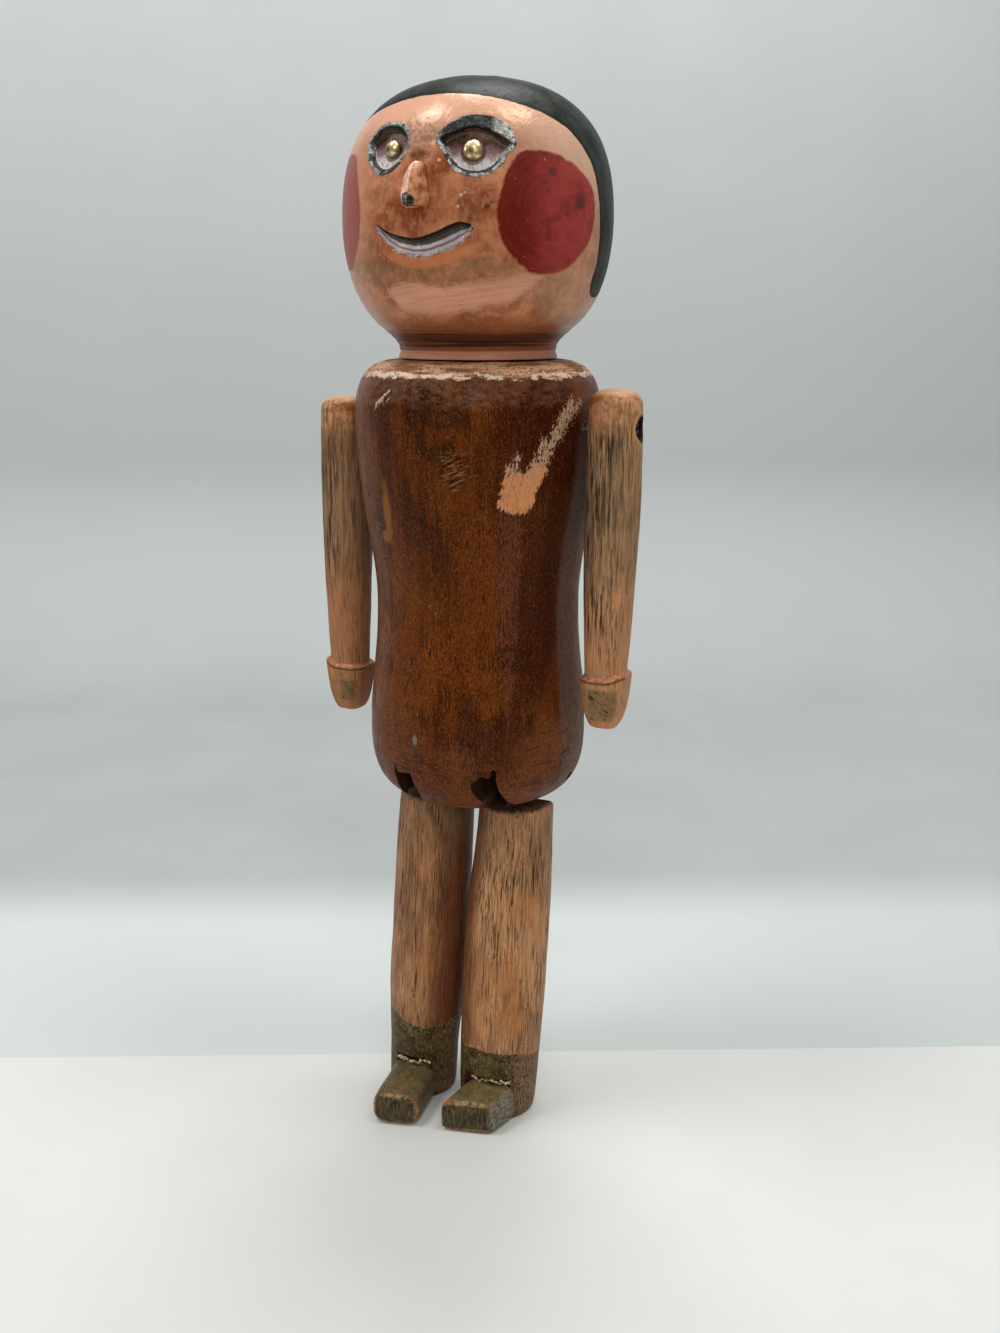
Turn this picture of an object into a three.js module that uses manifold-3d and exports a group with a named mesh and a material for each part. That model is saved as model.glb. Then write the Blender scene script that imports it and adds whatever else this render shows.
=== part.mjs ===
// A jointed wooden doll, standing, 260 mm tall.
//
// Millimetres, +Z up. The doll faces -Y and its own left side is +X. The origin is on the
// floor, in the middle of the rectangle that the doll covers. Its turned pieces share one
// upright axis, which stands a little behind the origin because the nose sticks out in front.
// Right and left are the doll's own.

import * as THREE from 'three';
import { mergeVertices } from 'three/addons/utils/BufferGeometryUtils.js';
import Module from 'manifold-3d';

const wasm = await Module();
wasm.setup();

// Fits
const gap = 0.3; // between pieces that touch each other
const armStandoff = 0.3; // between the widest part of the chest and an arm that swings past it
const hipClearance = 1.1; // between the torso's seat and the top of a leg

// Head, turned in one piece with its neck. Heights are above the neck's lower face.
const headHeight = 61.9;
const headRadius = 31.9;
const headWidestHeight = 31.4;
const neckRadius = 19.3;
const neckLength = 1.6;
const chinRadius = 22.5;
const chinHeight = 6.6;
const crownRoundness = 0.74; // share of the head's radius at which the crown turns down

// Torso, turned. Heights are above its flat seat.
const torsoHeight = 110.3;
const chestRadius = 30;
const chestHeight = 97.8;
const waistRadius = 25.6;
const waistHeight = 51.7;
const hipRadius = 27.9;
const hipHeight = 17.2;
const seatRadius = 12.5; // of the flat part of the seat

// Neck dowel
const dowelRadius = 5;
const dowelDepthInTorso = 13;
const dowelDepthInHead = 11;

// Hip joint
const hipPinRadius = 1.25;
const hipPinHeight = 5.4; // above the seat
const hipPinRecess = 0.8; // of the pin's ends below the torso's sides
const slotDepth = 10.5; // from the seat up
const tongueThickness = 5;
const legOffset = 11.5; // from the doll's middle to each leg's axis
const legLean = 6; // degrees forward of upright when the doll stands
const frontBevel = 12; // degrees that the leg's top slopes down to the front
const backBevel = 20; // degrees that it slopes down to the back

// Legs. Heights are above the sole.
const legHeight = 86.4;
const legTopRadius = 9.7;
const legTopEdge = 0.8; // worn off all round the top
const calfRadius = 11.2;
const calfHeight = 34;
const ankleRadius = 10.2;
const ankleHeight = 6;
const soleRadius = 9.2;
const soleRounding = 1.2;

// Feet, carved blocks let into a flat on the front of each leg
const flatDistance = 7.2; // from the leg's axis at the sole to the flat
const flatHeight = 12.2; // of the ledge over the flat
const crackWidth = 1.3; // between that ledge and the foot block
const footWidth = 13.4;
const footEdge = 0.9;
const rightFootLength = 14.4;
const rightToeHeight = 9.2;
const rightToeShift = 0.5; // of the toe's middle towards the other foot
const leftFootLength = 9.7;
const leftToeHeight = 8.9;
const leftToeShift = 2.5;
const toeSkew = 14; // degrees that each toe's flat end is turned to the doll's left
const toeRounding = 1.6;
const footPegRadius = 1.75;
const footPegHeight = 5;
const footPegDepth = 6; // into the foot, and as far into the leg
const fillerRadius = 0.35;
const fillerHalfLength = 4.9;

// Arms. Distances are from the top of the arm.
const rightArmLength = 83.3;
const leftArmLength = 81.2;
const armRadius = 6.6;
const armFullDistance = 24;
const armTopRadius = 6.2;
const armTopRounding = 3.4;
const wristRadius = 5.2;
const cuffRadius = 5.8;
const cuffLength = 1.4;
const handLength = 13.2;
const handTipHalfWidth = 3.3;
const handTipHalfDepth = 3.1;
const rightArmForward = 0.8; // of its axis, in front of the doll's
const leftArmForward = 5;
const armPivotDistance = 8.7;
const rightArmDrop = 18.5; // of its pivot below the torso's top: the arms weren't screwed on level
const leftArmDrop = 14.8;

// Shoulder screws
const screwShankRadius = 1.4;
const screwHeadRadius = 2.6;
const screwHeadThickness = 1.5;
const screwSink = 1.2; // of the head's face below the arm's outermost line
const screwDepthInTorso = 10;
const screwSlotWidth = 0.8;
const screwSlotDepth = 0.6;

// Face. Azimuths are degrees from straight ahead, positive towards the doll's left.
const eyeHeight = 44.9; // of both eye recesses, above the neck's lower face
const eyeDepth = 1.4;
const leftEyeAzimuth = 23.4;
const leftEyeHalfWidth = 9;
const leftEyeHalfHeight = 6;
const rightEyeAzimuth = -17.7;
const rightEyeHalfWidth = 6.7;
const rightEyeHalfHeight = 5;
const leftPinTurn = -1.3; // degrees from the middle of its recess
const leftPinDrop = 1.3; // below the middle of its recess
const rightPinTurn = 2.8;
const rightPinDrop = 0.3;
const pinDomeRadius = 2;
const pinDomeHeight = 1.2;
const pinShankRadius = 0.7;
const pinShankLength = 7;
const pinInset = 0.95; // of the dome's flat side below the head's surface
const mouthHeight = 24.1; // at the middle of the smile
const mouthHalfWidth = 11.5;
const mouthHalfHeight = 1.7;
const mouthRise = 4.7; // of the smile's ends above its middle
const mouthDepth = 1.5;
const noseBottomHeight = 31.9;
const noseLength = 8.6;
const noseReach = 5.1; // in front of the widest part of the head
const noseTopHalfWidth = 1.3;
const noseBottomHalfWidth = 2.9;
const noseDepthInHead = 5.6;

// Levels above the floor, and places, that follow from the sizes
const seatLevel = legHeight + hipClearance;
const torsoTopLevel = seatLevel + torsoHeight;
const neckLevel = torsoTopLevel + gap;
const hipPinLevel = seatLevel + hipPinHeight;
const rightArmPivotLevel = torsoTopLevel - rightArmDrop;
const leftArmPivotLevel = torsoTopLevel - leftArmDrop;
const armX = chestRadius + armStandoff + armRadius;
const backReach = Math.max(headRadius, chestRadius, hipRadius);
const axisSetback = (headRadius + noseReach - backReach) / 2;

// Sides of the round solids
const largeSides = 48;
const limbSides = 28;
const smallSides = 16;

// Solids

function solidOf(geometry) {
  const bare = geometry.clone();
  bare.deleteAttribute('normal');
  bare.deleteAttribute('uv');
  const merged = mergeVertices(bare, 1e-4);
  const corners = merged.index.array;
  const triangles = [];
  for (let i = 0; i < corners.length; i += 3) {
    const [a, b, c] = corners.slice(i, i + 3);
    if (a !== b && b !== c && c !== a) triangles.push(a, b, c);
  }
  const vertProperties = new Float32Array(merged.attributes.position.array);
  const triVerts = new Uint32Array(triangles);
  return new wasm.Manifold(new wasm.Mesh({ numProp: 3, vertProperties, triVerts }));
}

function geometryOf(solid) {
  const mesh = solid.getMesh();
  const geometry = new THREE.BufferGeometry();
  geometry.setAttribute('position', new THREE.BufferAttribute(mesh.vertProperties, 3));
  geometry.setIndex(new THREE.BufferAttribute(mesh.triVerts, 1));
  return geometry;
}

function cut(geometry, ...tools) {
  return geometryOf(tools.reduce((rest, tool) => rest.subtract(solidOf(tool)), solidOf(geometry)));
}

function join(first, second) {
  return geometryOf(solidOf(first).add(solidOf(second)));
}

function common(first, second) {
  return geometryOf(solidOf(first).intersect(solidOf(second)));
}

// Spins a half outline, given as [radius, height] points from axis to axis, about +Z.
function turned(outline, sides) {
  const points = outline.map(([radius, height]) => new THREE.Vector2(radius, height));
  return new THREE.LatheGeometry(points, sides).rotateX(Math.PI / 2);
}

function rodAlongX(radius, fromX, toX, y, z) {
  const rod = new THREE.CylinderGeometry(radius, radius, toX - fromX, smallSides);
  return rod.rotateZ(Math.PI / 2).translate((fromX + toX) / 2, y, z);
}

function rodAlongY(radius, fromY, toY, x, z) {
  const rod = new THREE.CylinderGeometry(radius, radius, toY - fromY, smallSides);
  return rod.translate(x, (fromY + toY) / 2, z);
}

function rodAlongZ(radius, fromZ, toZ) {
  const rod = new THREE.CylinderGeometry(radius, radius, toZ - fromZ, limbSides);
  return rod.rotateX(Math.PI / 2).translate(0, 0, (fromZ + toZ) / 2);
}

function block([fromX, toX], [fromY, toY], [fromZ, toZ]) {
  const box = new THREE.BoxGeometry(toX - fromX, toY - fromY, toZ - fromZ);
  return box.translate((fromX + toX) / 2, (fromY + toY) / 2, (fromZ + toZ) / 2);
}

// Extrudes a shape drawn in [Y, Z] across X, centred on X = 0, with rounded edges.
function acrossX(shape, width, edge = 0) {
  const geometry = new THREE.ExtrudeGeometry(shape, {
    depth: width - 2 * edge,
    bevelEnabled: edge > 0,
    bevelThickness: edge,
    bevelSize: edge,
    bevelOffset: -edge,
    bevelSegments: 2,
    curveSegments: 6,
  });
  const turn = new THREE.Matrix4().makeBasis(
    new THREE.Vector3(0, 1, 0),
    new THREE.Vector3(0, 0, 1),
    new THREE.Vector3(1, 0, 0),
  );
  return geometry.translate(0, 0, edge - width / 2).applyMatrix4(turn);
}

// Joins flat rings, listed from bottom to top, into a closed limb. A ring is round at a
// squareness of 2 and nears a rectangle as that grows.
function limb(rings) {
  const positions = [];
  const indices = [];
  for (const { z, y = 0, halfWidth, halfDepth = halfWidth, squareness = 2 } of rings) {
    for (let side = 0; side < limbSides; side += 1) {
      const angle = (2 * Math.PI * side) / limbSides;
      const across = Math.abs(Math.cos(angle) / halfWidth) ** squareness;
      const along = Math.abs(Math.sin(angle) / halfDepth) ** squareness;
      const radius = (across + along) ** (-1 / squareness);
      positions.push(radius * Math.cos(angle), y + radius * Math.sin(angle), z);
    }
  }
  for (let low = 0; low < (rings.length - 1) * limbSides; low += limbSides) {
    const high = low + limbSides;
    for (let side = 0; side < limbSides; side += 1) {
      const next = (side + 1) % limbSides;
      indices.push(low + side, low + next, high + next);
      indices.push(low + side, high + next, high + side);
    }
  }
  const top = (rings.length - 1) * limbSides;
  for (let side = 1; side + 1 < limbSides; side += 1) {
    indices.push(0, side + 1, side);
    indices.push(top, top + side, top + side + 1);
  }
  const geometry = new THREE.BufferGeometry();
  geometry.setAttribute('position', new THREE.Float32BufferAttribute(positions, 3));
  geometry.setIndex(indices);
  return geometry;
}

// Half outlines of the turned pieces, as [radius, height] points

function bend(steps, ...corners) {
  const [start, first, second, end] = corners.map(([radius, z]) => new THREE.Vector2(radius, z));
  const curve = new THREE.CubicBezierCurve(start, first, second, end);
  return curve.getPoints(steps).map((point) => [point.x, point.y]);
}

function headOutline() {
  const lowerRise = headWidestHeight - chinHeight;
  const upperRise = headHeight - headWidestHeight;
  const chinSpread = headRadius - chinRadius;
  const neck = bend(
    3,
    [neckRadius, neckLength],
    [neckRadius, (neckLength + chinHeight) / 2],
    [(neckRadius + 2 * chinRadius) / 3, (neckLength + 3 * chinHeight) / 4],
    [chinRadius, chinHeight],
  );
  const jaw = bend(
    9,
    [chinRadius, chinHeight],
    [chinRadius + 0.64 * chinSpread, chinHeight + 0.18 * lowerRise],
    [headRadius, chinHeight + 0.54 * lowerRise],
    [headRadius, headWidestHeight],
  );
  const crown = bend(
    13,
    [headRadius, headWidestHeight],
    [headRadius, headWidestHeight + 0.6 * upperRise],
    [crownRoundness * headRadius, headHeight],
    [0, headHeight],
  );
  return [[0, 0], [neckRadius, 0], ...neck, ...jaw.slice(1), ...crown.slice(1)];
}

function torsoOutline() {
  const bellyRise = waistHeight - hipHeight;
  const ribRise = chestHeight - waistHeight;
  const seat = bend(
    8,
    [seatRadius, 0],
    [(seatRadius + 4 * hipRadius) / 5, 0],
    [hipRadius, 0.4 * hipHeight],
    [hipRadius, hipHeight],
  );
  const belly = bend(
    8,
    [hipRadius, hipHeight],
    [hipRadius, hipHeight + 0.42 * bellyRise],
    [waistRadius, waistHeight - 0.42 * bellyRise],
    [waistRadius, waistHeight],
  );
  const ribs = bend(
    8,
    [waistRadius, waistHeight],
    [waistRadius, waistHeight + 0.28 * ribRise],
    [chestRadius, chestHeight - 0.5 * ribRise],
    [chestRadius, chestHeight],
  );
  const shoulder = bend(
    7,
    [chestRadius, chestHeight],
    [chestRadius, chestHeight + 0.6 * (torsoHeight - chestHeight)],
    [(3 * chestRadius + neckRadius) / 4, torsoHeight],
    [neckRadius, torsoHeight],
  );
  const side = [...seat, ...belly.slice(1), ...ribs.slice(1), ...shoulder.slice(1)];
  return [[0, 0], ...side, [0, torsoHeight]];
}

// Radius of a turned piece at a height between its lower and upper faces
function radiusAt(outline, height) {
  for (let i = 1; i + 1 < outline.length; i += 1) {
    const [lowRadius, low] = outline[i];
    const [highRadius, high] = outline[i + 1];
    if (height >= low && height <= high && high > low) {
      return lowRadius + ((highRadius - lowRadius) * (height - low)) / (high - low);
    }
  }
  return 0;
}

const headLine = headOutline();
const torsoLine = torsoOutline();

// Torso, and what it holds

function screwLength(pivotLevel) {
  const shoulderRadius = radiusAt(torsoLine, pivotLevel - seatLevel);
  return armX + armRadius - screwSink - shoulderRadius + screwDepthInTorso;
}

function screw(pivotLevel) {
  const length = screwLength(pivotLevel);
  const outline = [
    [0, -length],
    [screwShankRadius, 3 - length],
    [screwShankRadius, -screwHeadThickness],
    [screwHeadRadius, -0.2],
    [0.8 * screwHeadRadius, 0],
    [0, 0.1],
  ];
  const across = [-2 * screwHeadRadius, 2 * screwHeadRadius];
  const slot = block(across, [-screwSlotWidth / 2, screwSlotWidth / 2], [-screwSlotDepth, 1]);
  return cut(turned(outline, smallSides), slot);
}

// The hole that a shoulder screw goes through, wider in front of its head
function screwHole(pivotLevel) {
  const outline = [
    [0, -screwLength(pivotLevel) - gap],
    [screwShankRadius + gap, -screwLength(pivotLevel) - gap],
    [screwShankRadius + gap, -screwHeadThickness - gap],
    [screwHeadRadius + gap, -0.2 - gap],
    [screwHeadRadius + gap, armRadius],
    [0, armRadius],
  ];
  return turned(outline, smallSides);
}

// Points screw geometry out of the doll's side, its slot upright.
function facingOut(geometry, side) {
  const faceX = armX + armRadius - screwSink;
  return geometry.rotateY((side * Math.PI) / 2).translate(side * faceX, 0, 0);
}


function torso() {
  const wood = turned(torsoLine, largeSides).translate(0, 0, seatLevel);
  const slotWidth = tongueThickness + 2 * gap;
  const slots = [-legOffset, legOffset].map((x) => block(
    [x - slotWidth / 2, x + slotWidth / 2],
    [-2 * hipRadius, 2 * hipRadius],
    [seatLevel - slotDepth, seatLevel + slotDepth],
  ));
  const dowelHole = rodAlongZ(
    dowelRadius + gap,
    torsoTopLevel - dowelDepthInTorso - gap,
    torsoTopLevel + dowelDepthInTorso,
  );
  const pinHole = rodAlongX(
    hipPinRadius + gap,
    -2 * hipRadius,
    2 * hipRadius,
    0,
    hipPinLevel,
  );
  return cut(
    wood,
    ...slots,
    dowelHole,
    pinHole,
    facingOut(screwHole(rightArmPivotLevel), -1).translate(0, -rightArmForward, rightArmPivotLevel),
    facingOut(screwHole(leftArmPivotLevel), 1).translate(0, -leftArmForward, leftArmPivotLevel),
  );
}

function neckDowel() {
  return rodAlongZ(
    dowelRadius,
    torsoTopLevel - dowelDepthInTorso,
    neckLevel + dowelDepthInHead,
  );
}

function hipPin() {
  const sideRadius = radiusAt(torsoLine, hipPinHeight);
  const reach = sideRadius - hipPinRecess;
  return rodAlongX(hipPinRadius, -reach, reach, 0, hipPinLevel);
}

// Head and face

// A lens-shaped cutter that follows the head's round surface. Its outline is an ellipse
// whose two ends are bent upwards by rise.
function faceCutter({ azimuth, height, halfWidth, halfHeight, depth, rise = 0 }) {
  const cutter = new THREE.SphereGeometry(1, 24, 10);
  const points = cutter.attributes.position;
  const middleRadius = radiusAt(headLine, height);
  for (let i = 0; i < points.count; i += 1) {
    const across = points.getX(i);
    const level = height + points.getY(i) * halfHeight + rise * across * across;
    const angle = THREE.MathUtils.degToRad(azimuth) + (across * halfWidth) / middleRadius;
    const radius = radiusAt(headLine, level) + points.getZ(i) * depth;
    points.setXYZ(i, radius * Math.sin(angle), -radius * Math.cos(angle), neckLevel + level);
  }
  return cutter;
}

// Moves geometry that points along +Z onto the face, pointing straight out of it and
// inset below its surface.
function onFace(geometry, azimuth, height, inset) {
  const slope = (radiusAt(headLine, height + 1) - radiusAt(headLine, height - 1)) / 2;
  const tilt = Math.atan2(1, -slope);
  const radius = radiusAt(headLine, height) - inset * Math.sin(tilt);
  const level = neckLevel + height - inset * Math.cos(tilt);
  geometry.rotateX(tilt).translate(0, -radius, level);
  return geometry.rotateZ(THREE.MathUtils.degToRad(azimuth));
}

function eyePin(azimuth, height) {
  const outline = [
    [0, -pinShankLength],
    [pinShankRadius, 0.5 - pinShankLength],
    [pinShankRadius, 0],
    [pinDomeRadius, 0],
    [0.87 * pinDomeRadius, 0.5 * pinDomeHeight],
    [0.5 * pinDomeRadius, 0.87 * pinDomeHeight],
    [0, pinDomeHeight],
  ];
  return onFace(turned(outline, smallSides), azimuth, height, pinInset);
}

// The hole for a pin's shank, and the seat that its dome needs wherever it meets the recess
function eyePinHole(azimuth, height) {
  const outline = [
    [0, -pinShankLength - gap],
    [pinShankRadius + gap, -pinShankLength - gap],
    [pinShankRadius + gap, -gap],
    [pinDomeRadius + gap, -gap],
    [pinDomeRadius + gap, pinInset + pinDomeHeight],
    [0, pinInset + pinDomeHeight],
  ];
  return onFace(turned(outline, smallSides), azimuth, height, pinInset);
}

// The nose's front outline, widened by a margin, extruded from backY to frontY
function noseBar(margin, backY, frontY) {
  const low = neckLevel + noseBottomHeight - margin;
  const high = low + noseLength + 2 * margin;
  const wide = noseBottomHalfWidth + margin;
  const narrow = noseTopHalfWidth + margin;
  const corner = 0.3 * noseBottomHalfWidth;
  const shape = new THREE.Shape();
  shape.moveTo(corner - wide, low);
  shape.lineTo(wide - corner, low);
  shape.lineTo(wide, low + corner);
  shape.lineTo(narrow, high);
  shape.lineTo(-narrow, high);
  shape.lineTo(-wide, low + corner);
  shape.closePath();
  const bar = new THREE.ExtrudeGeometry(shape, { depth: backY - frontY, bevelEnabled: false });
  return bar.rotateX(Math.PI / 2).translate(0, backY, 0);
}

function nosePeg() {
  const backY = noseDepthInHead - headRadius;
  const tipY = -headRadius - noseReach;
  const low = neckLevel + noseBottomHeight;
  const high = low + noseLength;
  const browY = -radiusAt(headLine, noseBottomHeight + noseLength) - gap;
  const side = new THREE.Shape();
  side.moveTo(backY, low);
  side.lineTo(tipY + 0.15 * noseReach, low);
  side.lineTo(tipY, low + 0.18 * noseLength);
  side.lineTo(browY, high);
  side.lineTo(backY, high);
  side.closePath();
  return common(noseBar(0, backY, tipY), acrossX(side, 3 * noseBottomHalfWidth));
}

function head() {
  const leftEye = faceCutter({
    azimuth: leftEyeAzimuth,
    height: eyeHeight,
    halfWidth: leftEyeHalfWidth,
    halfHeight: leftEyeHalfHeight,
    depth: eyeDepth,
  });
  const rightEye = faceCutter({
    azimuth: rightEyeAzimuth,
    height: eyeHeight,
    halfWidth: rightEyeHalfWidth,
    halfHeight: rightEyeHalfHeight,
    depth: eyeDepth,
  });
  const mouth = faceCutter({
    azimuth: 0,
    height: mouthHeight,
    halfWidth: mouthHalfWidth,
    halfHeight: mouthHalfHeight,
    depth: mouthDepth,
    rise: mouthRise,
  });
  const dowelHole = rodAlongZ(
    dowelRadius + gap,
    neckLevel - dowelDepthInHead,
    neckLevel + dowelDepthInHead + gap,
  );
  return cut(
    turned(headLine, largeSides).translate(0, 0, neckLevel),
    leftEye,
    rightEye,
    mouth,
    noseBar(gap, noseDepthInHead - headRadius + gap, -headRadius - noseReach),
    eyePinHole(leftEyeAzimuth + leftPinTurn, eyeHeight - leftPinDrop),
    eyePinHole(rightEyeAzimuth + rightPinTurn, eyeHeight - rightPinDrop),
    dowelHole,
  );
}

// Limbs. Each is drawn about the pin or screw that it swings on.

function arm(length, pivotLevel, side) {
  const top = armPivotDistance;
  const tip = top - length;
  const wrist = tip + handLength;
  const full = top - armFullDistance;
  const rings = [
    { z: tip, halfWidth: 0.8 * handTipHalfWidth, halfDepth: 0.8 * handTipHalfDepth, squareness: 3 },
    { z: tip + 0.7, halfWidth: handTipHalfWidth, halfDepth: handTipHalfDepth, squareness: 3.2 },
    { z: wrist - 0.45 * handLength, halfWidth: 0.88 * cuffRadius, squareness: 3.2 },
    { z: wrist - cuffLength, halfWidth: 0.96 * cuffRadius, squareness: 2.8 },
    { z: wrist - 0.6 * cuffLength, halfWidth: cuffRadius, squareness: 2.3 },
    { z: wrist, halfWidth: cuffRadius, squareness: 2.1 },
    { z: wrist + 0.3 * cuffLength, halfWidth: wristRadius },
  ];
  for (const share of [0.08, 0.25, 0.5, 0.75, 1]) {
    const radius = wristRadius + (armRadius - wristRadius) * Math.sin((Math.PI * share) / 2);
    rings.push({ z: wrist + (full - wrist) * share, halfWidth: radius });
  }
  for (const share of [0.15, 0.4, 0.7, 1]) {
    const z = top - armTopRounding * (1 - share);
    const rounding = Math.sqrt(1 - 0.8 * share * share);
    rings.push({ z, halfWidth: armTopRadius * rounding });
  }
  return cut(limb(rings), facingOut(screwHole(pivotLevel), side).translate(-side * armX, 0, 0));
}

// Distance of a leg's axis behind the hip pin, at a height above the pin
function legAxisY(height) {
  return height * Math.tan(THREE.MathUtils.degToRad(legLean));
}

const flatY = legAxisY(-hipPinLevel) - flatDistance;

// Eases a leg's radius from one height above the sole to another.
function legRings(fromHeight, fromRadius, toHeight, toRadius, steps) {
  const rings = [];
  for (let step = 1; step <= steps; step += 1) {
    const share = step / steps;
    const eased = (1 - Math.cos(Math.PI * share)) / 2;
    const z = fromHeight + (toHeight - fromHeight) * share - hipPinLevel;
    rings.push({ z, y: legAxisY(z), halfWidth: fromRadius + (toRadius - fromRadius) * eased });
  }
  return rings;
}

function tongueRadius() {
  return slotDepth - hipPinHeight - gap;
}

// What is cut away over the leg's two sloping shoulders, and the tongue that stays
function legTopCutter() {
  const ridge = -hipPinHeight - hipClearance;
  const reach = 2 * calfRadius;
  const frontDrop = reach * Math.tan(THREE.MathUtils.degToRad(frontBevel));
  const backDrop = reach * Math.tan(THREE.MathUtils.degToRad(backBevel));
  const shape = new THREE.Shape();
  shape.moveTo(0, ridge);
  shape.lineTo(reach, ridge - backDrop);
  shape.lineTo(reach, reach);
  shape.lineTo(-reach, reach);
  shape.lineTo(-reach, ridge - frontDrop);
  shape.closePath();
  return acrossX(shape, 2 * reach).rotateX(-THREE.MathUtils.degToRad(legLean));
}

function tongue() {
  const radius = tongueRadius();
  const root = -hipPinHeight - hipClearance - radius;
  const shape = new THREE.Shape();
  shape.moveTo(-radius, root);
  shape.lineTo(radius, root);
  shape.lineTo(radius, 0);
  shape.absarc(0, 0, radius, 0, Math.PI, false);
  shape.closePath();
  return acrossX(shape, tongueThickness).rotateX(-THREE.MathUtils.degToRad(legLean));
}

function leg() {
  const sole = -hipPinLevel;
  const rounded = sole + soleRounding;
  const edgeRadius = (soleRadius + 2 * ankleRadius) / 3;
  const shank = limb([
    { z: sole, y: legAxisY(sole), halfWidth: soleRadius },
    { z: rounded, y: legAxisY(rounded), halfWidth: edgeRadius },
    ...legRings(soleRounding, edgeRadius, ankleHeight, ankleRadius, 1),
    ...legRings(ankleHeight, ankleRadius, calfHeight, calfRadius, 5),
    ...legRings(calfHeight, calfRadius, legHeight - legTopEdge, legTopRadius, 6),
    ...legRings(legHeight - legTopEdge, legTopRadius, legHeight, legTopRadius - legTopEdge, 1),
  ]);
  const flat = block(
    [-2 * calfRadius, 2 * calfRadius],
    [flatY - 2 * calfRadius, flatY],
    [sole - flatHeight, sole + flatHeight],
  );
  return cut(
    join(cut(shank, legTopCutter()), tongue()),
    flat,
    rodAlongX(hipPinRadius + gap, -tongueThickness, tongueThickness, 0, 0),
    footPegRod(footPegRadius + gap, footPegDepth + gap),
  );
}

function footPegRod(radius, depth) {
  return rodAlongY(radius, flatY - gap - depth, flatY + depth, 0, footPegHeight - hipPinLevel);
}

// A foot block, its toe moved across by toeShift and its flat end turned by toeSkew
function foot(length, toeHeight, toeShift) {
  const sole = -hipPinLevel;
  const heelY = flatY - gap;
  const toeY = heelY - length;
  const ankleTop = sole + flatHeight - crackWidth;
  const toeTop = sole + toeHeight;
  const shape = new THREE.Shape();
  shape.moveTo(heelY, sole);
  shape.lineTo(toeY + toeRounding, sole);
  shape.quadraticCurveTo(toeY, sole, toeY, sole + toeRounding);
  shape.lineTo(toeY, toeTop - toeRounding);
  shape.quadraticCurveTo(toeY, toeTop, toeY + toeRounding, toeTop);
  shape.quadraticCurveTo((heelY + toeY) / 2, ankleTop, heelY, ankleTop);
  shape.closePath();
  const wood = acrossX(shape, footWidth, footEdge);
  const points = wood.attributes.position;
  const skew = Math.tan(THREE.MathUtils.degToRad(toeSkew));
  for (let i = 0; i < points.count; i += 1) {
    const share = (heelY - points.getY(i)) / length;
    const y = points.getY(i) + points.getX(i) * skew * share;
    points.setXYZ(i, points.getX(i) + toeShift * share, y, points.getZ(i));
  }
  return cut(wood, footPegRod(footPegRadius + gap, footPegDepth + gap));
}

function ankleFiller() {
  const crackLevel = flatHeight - crackWidth / 2 - hipPinLevel;
  const points = [];
  for (let share = -1; share <= 1; share += 0.25) {
    const out = 2 * fillerRadius + 2 * fillerRadius * (1 - share * share);
    points.push(new THREE.Vector3(share * fillerHalfLength, flatY - out, crackLevel));
  }
  const section = new THREE.Shape();
  section.absarc(0, 0, fillerRadius, 0, 2 * Math.PI, false);
  return new THREE.ExtrudeGeometry(section, {
    steps: 12,
    curveSegments: 4,
    extrudePath: new THREE.CatmullRomCurve3(points),
  });
}

// Finishes

function finish(color, roughness, metalness = 0) {
  return new THREE.MeshStandardMaterial({ color, roughness, metalness });
}

const varnishedWood = finish('#6a3a20', 0.35);
const fleshPaint = finish('#c28b6c', 0.35);
const wornFleshPaint = finish('#a9805f', 0.6);
const bootPaint = finish('#58503a', 0.6);
const bareWood = finish('#c8a477', 0.7);
const brass = finish('#c9a552', 0.35, 1);
const steel = finish('#5d5850', 0.45, 1);
const glue = finish('#c9bb94', 0.7);

// The doll

const doll = new THREE.Group();
doll.position.set(0, axisSetback, 0);

function group(x, y, z) {
  const holder = new THREE.Group();
  holder.position.set(x, y, z);
  doll.add(holder);
  return holder;
}

function add(parent, name, geometry, material) {
  const piece = new THREE.Mesh(geometry, material.clone());
  piece.name = name;
  parent.add(piece);
}

add(doll, 'torso', torso(), varnishedWood);
add(doll, 'neck_dowel', neckDowel(), bareWood);
add(doll, 'hip_pin', hipPin(), steel);
add(doll, 'head', head(), fleshPaint);
add(doll, 'nose_peg', nosePeg(), fleshPaint);
add(doll, 'right_eye_pin', eyePin(rightEyeAzimuth + rightPinTurn, eyeHeight - rightPinDrop), brass);
add(doll, 'left_eye_pin', eyePin(leftEyeAzimuth + leftPinTurn, eyeHeight - leftPinDrop), brass);

const limbSizes = [
  {
    name: 'right',
    side: -1,
    pivotLevel: rightArmPivotLevel,
    forward: rightArmForward,
    armLength: rightArmLength,
    footLength: rightFootLength,
    toeHeight: rightToeHeight,
    toeShift: rightToeShift,
  },
  {
    name: 'left',
    side: 1,
    pivotLevel: leftArmPivotLevel,
    forward: leftArmForward,
    armLength: leftArmLength,
    footLength: leftFootLength,
    toeHeight: leftToeHeight,
    toeShift: -leftToeShift,
  },
];

for (const sizes of limbSizes) {
  const { name, side, pivotLevel, forward, armLength, footLength, toeHeight, toeShift } = sizes;
  const shoulderScrew = facingOut(screw(pivotLevel), side).translate(0, -forward, pivotLevel);
  add(doll, `${name}_shoulder_screw`, shoulderScrew, steel);

  const shoulder = group(side * armX, -forward, pivotLevel);
  add(shoulder, `${name}_arm`, arm(armLength, pivotLevel, side), wornFleshPaint);

  const hip = group(side * legOffset, 0, hipPinLevel);
  add(hip, `${name}_leg`, leg(), wornFleshPaint);
  add(hip, `${name}_foot`, foot(footLength, toeHeight, toeShift), bootPaint);
  add(hip, `${name}_foot_peg`, footPegRod(footPegRadius, footPegDepth), bareWood);
  add(hip, `${name}_ankle_filler`, ankleFiller(), glue);
}

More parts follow.
